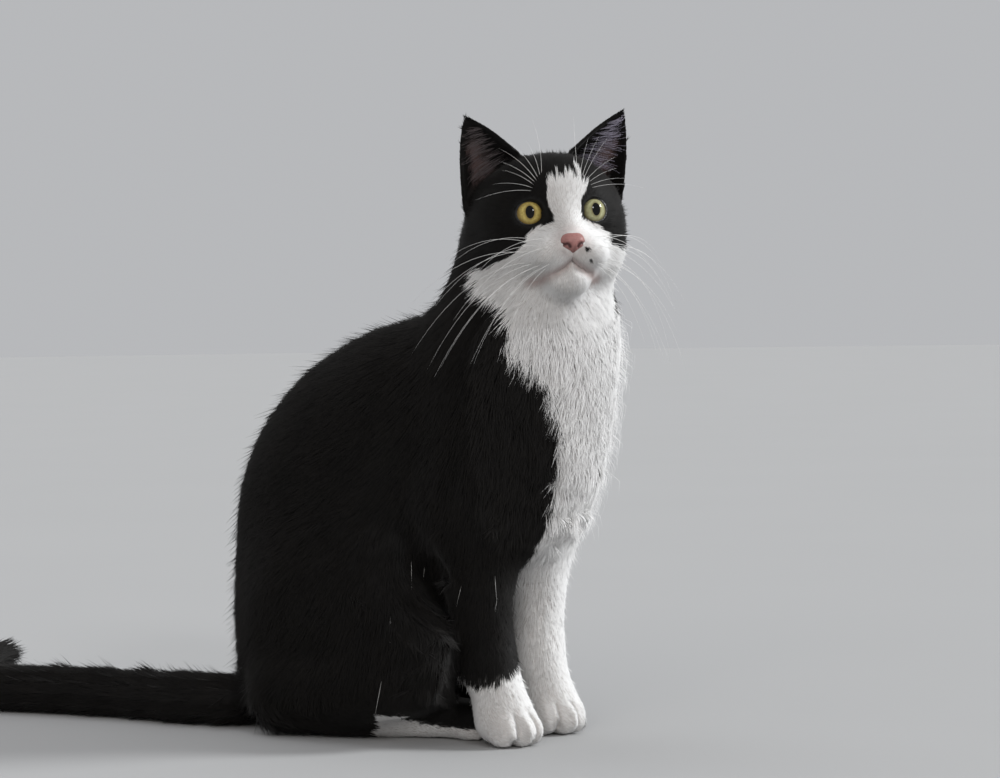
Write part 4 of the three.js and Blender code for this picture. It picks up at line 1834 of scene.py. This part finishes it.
@dataclass
class Stiff:
    """The whiskers of the lips and of the brows.

    Attributes:
        skin: The skin that they grow from.
        rows: For each row on a lip, its first root (across, ahead and up) and the step to the next, mm.
        counts: How many each row has.
        lengths: How long each row's whiskers are, mm.
        brow: For each whisker of a brow, its lean outwards in degrees and its length, mm.
        lip_radius, brow_radius: Radii at the root.
        sunk: How deep the roots sit in the skin.
        steps: Points along each whisker.
    """

    skin: Skin
    rows: tuple = (
        ((11.0, -44.0, -19.0), (3.4, 3.0, 0.4)),
        ((10.0, -46.0, -22.0), (3.4, 2.9, 0.1)),
        ((10.5, -45.0, -25.0), (3.3, 2.9, -0.4)),
        ((12.0, -43.0, -28.0), (3.2, 2.9, -0.7)),
    )
    counts: tuple = (3, 4, 4, 3)
    lengths: tuple = (50, 58, 56, 42)
    brow: tuple = ((-3, 35), (9, 24), (18, 29), (28, 31), (44, 26), (56, 22), (68, 24), (80, 33))
    lip_radius: float = 0.14 * MM
    brow_radius: float = 0.10 * MM
    sunk: float = 0.8 * MM
    steps: int = 14

    def arc(
        self, side: Side, root: np.ndarray, way: np.ndarray, length: float, sag: np.ndarray
    ) -> np.ndarray:
        """One hair of the left side, or its like on the right.

        Args:
            side: The side that it is for.
            root: Where it starts, in the head's frame.
            way: The direction in which it starts.
            length: Its length.
            sag: How far its tip bends, as a share of its length.

        Returns:
            The points along it.
        """
        share = np.linspace(0, length, self.steps)[:, None]
        line = root + unit(way) * share + sag * share**2 / length
        return HEAD.outward(line * [side.value, 1, 1])

    def lips(self, draw: np.random.Generator) -> list[np.ndarray]:
        """The whiskers of both lips.

        Args:
            draw: Where chance is drawn from.

        Returns:
            The points along each.
        """
        lines = []
        for side in Side:
            for row, ((first, pitch), count) in enumerate(zip(self.rows, self.counts)):
                for k in range(count):
                    rise = 0.12 - 0.22 * row + 0.12 * k + draw.normal(0, 0.05)
                    way = np.array([1.0, 0.02 + 0.16 * k + draw.normal(0, 0.05), rise])
                    length = (self.lengths[row] + 5 * k + draw.normal(0, 4)) * MM
                    sag = np.array([-0.12, 0.30 + 0.05 * k, -0.48 - 0.06 * row + draw.normal(0, 0.07)])
                    lines.append(self.arc(side, mm(*first) + k * mm(*pitch), way, length, sag))
        return lines

    def brows(self, draw: np.random.Generator) -> list[np.ndarray]:
        """The whiskers over both eyes.

        Args:
            draw: Where chance is drawn from.

        Returns:
            The points along each.
        """
        lines = []
        for side in Side:
            for k, (lean, length) in enumerate(self.brow):
                angle = math.radians(lean) + draw.normal(0, 0.05)
                root = mm(10.2 + 0.7 * k, -34.0, 20.5 - 1.1 * k)
                way = np.array([math.sin(angle), -0.18, math.cos(angle)])
                sag = np.array([0.12 * math.cos(angle), 0.30, -0.20 * math.sin(angle) - 0.04])
                lines.append(self.arc(side, root, way, length * MM, sag))
        return lines

    def build(self) -> None:
        """Makes all the whiskers, their roots sunk in the skin."""
        draw = np.random.default_rng(SEED + 11)
        lips, brows = self.lips(draw), self.brows(draw)
        lines = np.array(lips + brows)
        for line in lines:
            found = self.skin.tree.find_nearest(Vector(line[0]))
            line += np.array(found[0] - found[1] * self.sunk) - line[0]
        radii = np.array([self.lip_radius] * len(lips) + [self.brow_radius] * len(brows))
        mesh = tubes("whiskers", lines, radii[:, None] * np.linspace(1.0, 0.2, self.steps))
        finish = HairFinish("whisker", (0.78, 0.77, 0.75), (0.92, 0.91, 0.90))
        piece("whiskers", mesh, finish.make())


@dataclass
class EarFringe:
    """The pale hairs that lie across the hollow of each ear, from its inner edge outwards.

    Attributes:
        skin: The skin that they grow from.
        count: Hairs tried in each ear.
        steps: Points along each hair.
        radius: The usual radius at the root.
        climbs: For each ear, how far up its hairs go on their way.
        roots, tips: For each ear, the colours of the two ends of its hairs: lit and shaded copies of one
            colour, painted shade on the right ear and painted light from the key lamp on the left.
    """

    skin: Skin
    count: int = 260
    steps: int = 8
    radius: float = 0.11 * MM
    climbs: tuple = (0.03, 0.12)
    # Painted light: the right ear's hairs are darkened as painted shade, the left ear's lightened as painted
    # light from the key lamp.
    roots: tuple = ((0.09, 0.077, 0.080), (0.20, 0.18, 0.22))
    tips: tuple = ((0.24, 0.20, 0.20), (0.80, 0.75, 0.92))

    def line(self, ear: Ear, across: float, up: float, reach: float, climb: float) -> np.ndarray | None:
        """One hair that lies in the hollow, or nothing where it would leave it.

        Args:
            ear: The ear.
            across, up: Where its root is, in the ear's measure.
            reach: How far across it goes.
            climb: How far up it goes on its way.

        Returns:
            The points along it, or None.
        """
        line = []
        for share in np.linspace(0, 1, self.steps):
            height = up + climb * share
            aside = (across + reach * share) * ear.half_width(height)
            local = mm(*ear.root) * [ear.side.value, 1, 1] + ear.rise * height + ear.outer * aside
            start = HEAD.outward(local - ear.back * 12 * MM)
            found = self.skin.tree.ray_cast(Vector(start), Vector(HEAD.turned @ ear.back), 0.04)
            if found[0] is None:
                return None
            line.append(np.array(found[0] + found[1] * (-0.3 + 2.1 * share) * MM))
        steps = np.linalg.norm(np.diff(line, axis=0), axis=1)
        return np.array(line) if steps.max() < 6 * MM else None

    def build(self) -> None:
        """Makes the hairs of both ears."""
        for ear, rise, root, tip in zip(EARS, self.climbs, self.roots, self.tips):
            draw = np.random.default_rng(SEED + 13)
            lines = []
            for _ in range(self.count):
                across, up = draw.uniform(-0.72, 0.05), draw.uniform(-0.1, 0.78)
                reach, climb = draw.uniform(0.45, 0.95), draw.normal(rise - 0.10 * (0.5 - up), 0.035)
                line = self.line(ear, across, up, reach, climb)
                if line is not None:
                    lines.append(line)
            lines = np.array(lines)
            lines[:, 1:-1] = (lines[:, :-2] + 2 * lines[:, 1:-1] + lines[:, 2:]) / 4
            sizes = self.radius * draw.uniform(0.7, 1.3, len(lines))
            radii = sizes[:, None] * np.linspace(1.0, 0.3, self.steps)
            mesh = tubes(f"ear_fringe_{ear.side.word}", lines, radii, sides=3)
            finish = HairFinish(f"ear_hair_{ear.side.word}", root, tip)
            piece(mesh.name, mesh, finish.make())


@dataclass(frozen=True)
class Tuft:
    """The shape of a tuft of hair: a thin three-sided spike.

    Attributes:
        faces: Its triangles.
        along: Where each of its points is, from the root to the tip.
        aside: How far each point stands to a side, in half widths.
        raised: How far each point stands out, as a share of the ridge's height.
    """

    faces: tuple
    along: tuple
    aside: tuple
    raised: tuple


STRAIGHT = Tuft(
    faces=((0, 2, 1), (0, 1, 3), (1, 2, 3), (2, 0, 3)),
    along=(0.0, 0.0, 0.0, 1.0),
    aside=(-1.0, 1.0, 0.0, 0.0),
    raised=(0.0, 0.0, 1.0, 0.0),
)
BENT = Tuft(
    faces=(
        (0, 2, 1), (0, 1, 4), (0, 4, 3), (1, 2, 5), (1, 5, 4),
        (2, 0, 3), (2, 3, 5), (3, 4, 6), (4, 5, 6), (5, 3, 6),
    ),
    along=(0.0, 0.0, 0.0, 0.5, 0.5, 0.5, 1.0),
    aside=(-1.0, 1.0, 0.0, -0.72, 0.72, 0.0, 0.0),
    raised=(0.0, 0.0, 1.0, 0.0, 0.0, 0.72, 0.0),
)


@dataclass
class Coat:
    """The coat: thin tufts that lie along the skin.

    Attributes:
        skin: The skin that they grow from.
        nose: The nose pad, which stays bare.
        count: Tufts in all.
        bent: Tufts of a coat with at least this unrest have a bend.
        clump: Tufts that draw together into one lock.
        guard: Share of stray white hairs in the black of the thighs and the fore legs.
        wisps: Share of tufts that stand off the coat: the least, and how much more at an unrest of 1.
        quiet: Unrest up to which none does, and up to which one that does is broad.
        wisp_widths: Width of such a tuft where it is broad and where it is thin, times the usual.
        lengths, widths, rises: Least and most of what chance makes of each tuft, times the usual.
        stray: Length, width and rise of a stray white hair, times those of a tuft.
        patch: Size of one tuft on the bake's map.
        ridge: How high a tuft's ridge is, in widths.
        sunk: How deep the roots sit in the skin.
        drop: How far a tip may be brought down on the skin.
        most: Triangles that one piece may have.
    """

    skin: Skin
    nose: Nose
    count: int = 300_000
    bent: float = 0.27
    clump: int = 16
    guard: float = 0.0013
    wisps: tuple = (0.03, 0.13)
    quiet: tuple = (0.105, 0.13)
    wisp_widths: tuple = (1.5, 0.6)
    lengths: tuple = (0.72, 1.22)
    widths: tuple = (0.75, 1.25)
    rises: tuple = (0.6, 1.35)
    stray: tuple = (2.1, 0.32, 1.7)
    patch: float = 0.003
    ridge: float = 0.34
    sunk: float = 0.35 * MM
    drop: float = 3.2 * MM
    most: int = 190_000

    def growing(self) -> np.ndarray:
        """Works out how thickly hair grows.

        Returns:
            Tufts on a square metre, for each vertex.
        """
        skin = self.skin
        grown = skin.fields[:, 3] / MM**2
        grown = grown * (1 - 0.97 * skin.bare) * ~self.nose.covers(HEAD.inward(skin.points))
        for orbit in ORBITS:
            grown = grown * step(1.16, 1.3, orbit.spread(skin.points))
        under = (skin.points[:, 2] < 1.2 * MM) & (skin.ways[:, 2] < -0.8)
        return grown * ~under

    def rooted(self) -> None:
        """Draws the roots, and reads the skin's fields there."""
        skin, mesh = self.skin, self.skin.object.data
        mesh.calc_loop_triangles()
        triangles = taken(mesh.loop_triangles, "vertices", 3, np.int64)
        loops = taken(mesh.loop_triangles, "loops", 3, np.int64)
        a, b, c = (skin.points[triangles[:, k]] for k in range(3))
        weight = np.linalg.norm(np.cross(b - a, c - a), axis=1) / 2 * self.growing()[triangles].mean(1)
        LOG.info("the pelts ask for %d tufts", weight.sum())
        draw = self.draw
        found = np.searchsorted(np.cumsum(weight), draw.uniform(0, weight.sum(), self.count))
        found = np.minimum(found, len(weight) - 1)
        u, v = draw.uniform(size=(2, self.count))
        flip = u + v > 1
        u, v = np.where(flip, 1 - u, u), np.where(flip, 1 - v, v)
        share = np.stack([1 - u - v, u, v], 1)[:, :, None]
        maps = taken(mesh.uv_layers["OFBake"].uv, "vector", 2)

        def read(values: np.ndarray, corners: np.ndarray = triangles) -> np.ndarray:
            """A field of the skin at the roots."""
            return (values[corners[found]] * share).sum(1)

        self.roots = read(skin.points)
        self.out = unit(read(skin.ways))
        self.lie = unit(read(skin.lie))
        self.length, self.depth, self.width, _, self.unrest = read(skin.fields).T
        self.map = read(maps, loops)
        self.owners = skin.owners[triangles[found, 0]]

    def strayed(self) -> np.ndarray:
        """Bends the lie by waves in the coat and by chance.

        Returns:
            The way of each tuft.
        """
        side = np.cross(self.out, self.lie)
        swirl = 0.55 * Ripple(26 * MM, 31).at(self.roots) + 0.45 * Ripple(9 * MM, 32).at(self.roots)
        turn = self.unrest * (1.1 * swirl + 0.55 * self.draw.normal(size=self.count))
        return unit(self.lie + turn[:, None] * side)

    def laid(self, points: np.ndarray, length: np.ndarray) -> tuple[np.ndarray, np.ndarray]:
        """Points over the skin brought down on it.

        Args:
            points: Points near the skin.
            length: How far each may be from it.

        Returns:
            Their places on the skin, and the outward directions there.
        """
        find = self.skin.tree.find_nearest
        found = [find(p)[:2] for p in points.tolist()]
        down, out = np.array(found).transpose(1, 0, 2)
        lost = (np.linalg.norm(down - points, axis=1) > length) | ((out * self.out).sum(1) < 0.1)
        return np.where(lost[:, None], points, down), np.where(lost[:, None], self.out, out)

    def combed(self, tips: np.ndarray) -> np.ndarray:
        """Draws tips together into locks.

        Args:
            tips: The tufts' tips.

        Returns:
            Their new places.
        """
        leaders = self.draw.choice(self.count, self.count // self.clump, replace=False)
        tree = KDTree(len(leaders))
        for k, leader in enumerate(leaders):
            tree.insert(self.roots[leader], k)
        tree.balance()
        mine = leaders[[tree.find(p)[1] for p in self.roots.tolist()]]
        pull = np.clip(0.12 + 0.75 * self.unrest, 0, 0.6) * self.draw.uniform(0.5, 1.0, self.count)
        near = np.linalg.norm(self.roots[mine] - self.roots, axis=1) < 0.6 * self.length
        return tips + (pull * near)[:, None] * (tips[mine] - tips)

    def strays(self, white: np.ndarray) -> np.ndarray:
        """Picks the stray white hairs: some on the thighs and the fore legs.

        Args:
            white: How white each tuft is.

        Returns:
            True or False for each.
        """
        _, y, z = self.roots.T
        low = step(0.14, 0.10, z) * step(-0.02, -0.06, y) * step(0.030, 0.05, z)
        low = low * (white < 0.5) * ~np.char.startswith(self.owners, "tail")
        return self.draw.uniform(size=self.count) < self.guard * low

    def colours(self, length: np.ndarray) -> tuple[np.ndarray, np.ndarray]:
        """Works out what each tuft's colour is made of.

        Args:
            length: The tufts' lengths.

        Returns:
            White share, shade and pink share, and which tufts are stray white hairs.
        """
        draw, roots = self.draw, self.roots
        tips = roots + self.lie * (length * draw.uniform(0.45, 0.9, self.count))[:, None]
        white = MARKINGS.white(tips, self.owners)
        stray = self.strays(white)
        shade = 0.5 + 0.26 * Ripple(18 * MM, 34).at(roots) + 0.16 * draw.normal(size=self.count)
        local = HEAD.inward(roots)
        pink = 0.55 * np.exp(-((np.linalg.norm(local - self.nose.centre, axis=1) / (9 * MM)) ** 4))
        # Along the mouth line the hair darkens to pink: partly the lips' own tone, partly painted shade under
        # the lip pad.
        lips = 0.85 * bell(self.skin.off_line(local, self.skin.mouth), 2.4 * MM)
        rows = [np.where(stray, 0.85, white), np.clip(shade, 0, 1), np.maximum(pink, lips)]
        return np.stack(rows, 1), stray

    def grow(self) -> None:
        """Works out the middle line and the colour of every tuft."""
        self.draw = np.random.default_rng(SEED + 20)
        self.rooted()
        draw, count = self.draw, self.count
        wave = 1 + 0.7 * self.unrest * Ripple(14 * MM, 33).at(self.roots)
        length = self.length * draw.uniform(*self.lengths, count) * wave
        self.held, stray = self.colours(length)
        longer, thinner, higher = self.stray
        length = np.where(stray, longer * length, length)
        self.width = self.width * draw.uniform(*self.widths, count) * np.where(stray, thinner, 1.0)
        wisp = draw.uniform(size=count) < self.wisps[0] + self.wisps[1] * self.unrest
        wisp &= self.unrest > self.quiet[0]
        self.width *= np.where(wisp, np.where(self.unrest < self.quiet[1], *self.wisp_widths), 1.0)
        rise = self.depth * draw.uniform(*self.rises, count) * (1.2 - 1.9 * self.unrest)
        rise = np.where(stray, higher * rise, rise)
        rise = np.where(wisp, rise + draw.uniform(0.14, 0.55, count) * length, rise)
        self.way = self.strayed()
        tip, out = self.laid(self.roots + self.way * length[:, None], np.minimum(0.5 * length, self.drop))
        tip = self.combed(tip + out * (rise * (1.0 + 0.25 * self.unrest))[:, None])
        self.tip, self.out_tip = tip, out
        self.middle = (self.roots + tip) / 2 + self.out * (0.45 * rise)[:, None]

    def points(self, chosen: np.ndarray, tuft: Tuft) -> tuple[np.ndarray, np.ndarray]:
        """Works out the points of the chosen tufts.

        Args:
            chosen: The tufts' numbers.
            tuft: Their shape.

        Returns:
            Places, and directions for shading, for each point of each tuft.
        """
        along, aside, raised = (np.array(row)[None, :, None] for row in (tuft.along, tuft.aside, tuft.raised))
        root = (self.roots - self.out * self.sunk)[chosen][:, None]
        middle, tip = self.middle[chosen][:, None], self.tip[chosen][:, None]
        line = root * (1 - along) + tip * along
        line = np.where(along == 0.5, middle, line)
        across = unit(np.cross(self.way, self.out))[chosen][:, None]
        width = self.width[chosen][:, None, None] / 2
        out = self.out[chosen][:, None] * (1 - along) + self.out_tip[chosen][:, None] * along
        lift = self.ridge * 2 * width * raised + self.sunk * raised * (along == 0)
        points = line + across * width * aside + out * lift
        points[:, :, 2] = np.maximum(points[:, :, 2], 0.15 * MM)
        relief = (0.40 + 0.08 * self.unrest[chosen])[:, None, None]
        return points, unit(out + relief * aside * across)

    def cuts(self) -> dict[str, np.ndarray]:
        """Divides the coat into pieces.

        Returns:
            For each piece's name, which tufts belong to it.
        """
        x, y, _ = self.roots.T
        head = self.owners == "head"
        face = head & (HEAD.inward(self.roots)[:, 1] < -22 * MM)
        trunk = self.owners == "torso"
        chest = trunk & (y < -100 * MM)
        left = x > 0
        found = {
            "coat_face": face,
            "coat_head": head & ~face,
            "coat_ears": np.char.startswith(self.owners, "ear"),
            "coat_neck": self.owners == "neck",
            "coat_chest": chest,
            "coat_right_side": trunk & ~chest & ~left,
            "coat_left_side": trunk & ~chest & left,
        }
        for side in Side:
            for leg in ("fore", "hind"):
                found[f"coat_{leg}_leg_{side.word}"] = self.owners == f"{leg}_leg_{side.word}"
        found["coat_tail"] = np.char.startswith(self.owners, "tail")
        return found

    def show(self, name: str, chosen: np.ndarray, tuft: Tuft, finish: bpy.types.Material) -> None:
        """Makes one piece of the coat.

        Args:
            name: Its name.
            chosen: The numbers of its tufts.
            tuft: Their shape.
            finish: What they are made of.
        """
        size = len(tuft.along)
        points, ways = self.points(chosen, tuft)
        along = np.tile(tuft.along, len(chosen))
        held = np.repeat(self.held[chosen], size, axis=0)
        spot = np.stack([0.5 * np.array(tuft.aside), np.array(tuft.along) - 0.5], 1)
        spots = self.map[chosen][:, None] + self.patch * spot
        colour = np.stack([held[:, 0], along, held[:, 1], held[:, 2]], 1)
        mesh = many(name, points, np.array(tuft.faces), {"coat": colour}, spots.reshape(-1, 2))
        piece(name, mesh, finish)
        mesh.normals_split_custom_set_from_vertices(ways.reshape(-1, 3))

    def build(self) -> None:
        """Makes the pieces of the coat."""
        self.grow()
        finish = CoatFinish().make()
        total = 0
        for name, mine in self.cuts().items():
            for tuft, fits in ((STRAIGHT, self.unrest < self.bent), (BENT, self.unrest >= self.bent)):
                chosen = np.flatnonzero(mine & fits)
                chosen = chosen[np.argsort(self.roots[chosen, 2])]
                parts = -(-len(chosen) * len(tuft.faces) // self.most)
                for k, share in enumerate(np.array_split(chosen, max(parts, 1))):
                    if len(share):
                        kind = "long" if tuft is BENT else "short"
                        self.show(f"{name}_{kind}_{k + 1}", share, tuft, finish)
                        total += len(share) * len(tuft.faces)
        LOG.info("the coat: %d tufts, %d triangles", self.count, total)


# ---- the studio ----


@dataclass
class Studio:
    """The floor, the lamps and the camera.

    Attributes:
        heading: Way that the camera looks, from +X towards +Y.
        distance: From the camera to the cat, along its line of sight.
        height: Height of the camera.
        aside: How far the camera stands to the cat's front.
        pitch: How far it looks down.
        roll: How far it leans to its right.
        focal: Focal length in picture widths.
    """

    heading: float = math.radians(38.0)
    distance: float = 1.700
    height: float = 0.250
    aside: float = 0.078
    pitch: float = math.atan(84 / 2833)
    roll: float = 0.0131
    focal: float = 2833 / 1000

    def camera(self) -> None:
        """Sets up the camera."""
        data = bpy.data.cameras.new("camera")
        data.sensor_width = 36.0
        data.lens = 36.0 * self.focal
        made = linked("camera", data)
        c, s = math.cos(self.heading), math.sin(self.heading)
        at = Vector((self.aside * s - self.distance * c, -self.aside * c - self.distance * s, self.height))
        ahead = Vector((c * math.cos(self.pitch), s * math.cos(self.pitch), -math.sin(self.pitch)))
        level = ahead.to_track_quat("-Z", "Y").to_matrix().to_4x4()
        made.matrix_world = Matrix.Translation(at) @ level @ Matrix.Rotation(-self.roll, 4, "Z")
        bpy.context.scene.camera = made

    def lamp(
        self, name: str, at: tuple, width: float, power: float, colour: Colour, in_mirrors: bool = True
    ) -> None:
        """A far, soft lamp, which lights the whole floor evenly.

        Args:
            name: The lamp's name.
            at: The way to it.
            width: How wide it seems, in degrees.
            power: Watts on each square metre that faces it.
            colour: Its colour.
            in_mirrors: Whether glossy surfaces show it.
        """
        data = bpy.data.lights.new(name, "SUN")
        data.angle, data.energy, data.color = math.radians(width), power, colour
        made = linked(name, data)
        turn = (-Vector(at)).to_track_quat("-Z", "Y").to_matrix().to_4x4()
        made.matrix_world = Matrix.Translation(at) @ turn
        made.visible_glossy = in_mirrors

    def build(self) -> None:
        """Sets up the studio."""
        bm = bmesh.new()
        bmesh.ops.create_circle(bm, cap_ends=True, segments=96, radius=14.0)
        mesh = to_mesh(bm, "studio_floor")
        mesh.materials.append(FloorFinish().make())
        floor = linked("studio_floor", mesh)
        world = bpy.data.worlds.new("studio")
        world.use_nodes = True
        back = world.node_tree.nodes["Background"]
        back.inputs["Color"].default_value = (0.66, 0.67, 0.69, 1)
        back.inputs["Strength"].default_value = 0.72
        bpy.context.scene.world = world
        self.lamp("key", (2.0, -2.3, 1.65), 16.0, 2.5, (0.96, 0.985, 1.0))
        self.lamp("fill", (-2.6, -1.3, 1.2), 40.0, 0.5, (1.0, 0.93, 0.86), in_mirrors=False)
        self.lamp("eye_light", (-0.36, -0.81, 0.46), 9.0, 0.45, (1.0, 1.0, 1.0))
        self.lamp("top", (0.3, 1.2, 2.6), 40.0, 0.35, (0.95, 0.97, 1.0), in_mirrors=False)
        bpy.context.scene.view_settings.view_transform = "Standard"
        self.camera()


def main() -> None:
    """Builds the cat and the studio, and reports each piece."""
    logging.basicConfig(level=logging.INFO, format="%(message)s")
    Studio().build()
    skin = Skin()
    skin.build()
    right = EyeFinish("iris_right", (0.44, 0.34, 0.10), (0.54, 0.43, 0.13), (0.21, 0.14, 0.035))
    left = EyeFinish("iris_left", (0.33, 0.32, 0.17), (0.43, 0.43, 0.24), (0.17, 0.15, 0.075))
    rim = WetSkinFinish("lid_rim", (0.012, 0.010, 0.010), (0.006, 0.005, 0.005), roughness=0.3).make()
    for orbit, finish in zip(ORBITS, (right, left)):
        eye = Eye(orbit, finish, (math.radians(2.0), math.radians(2.0)))
        eye.ball()
        eye.rim(rim)
    nose = Nose()
    nose.build()
    Stiff(skin).build()
    EarFringe(skin).build()
    Coat(skin, nose).build()


if __name__ == "__main__":
    main()
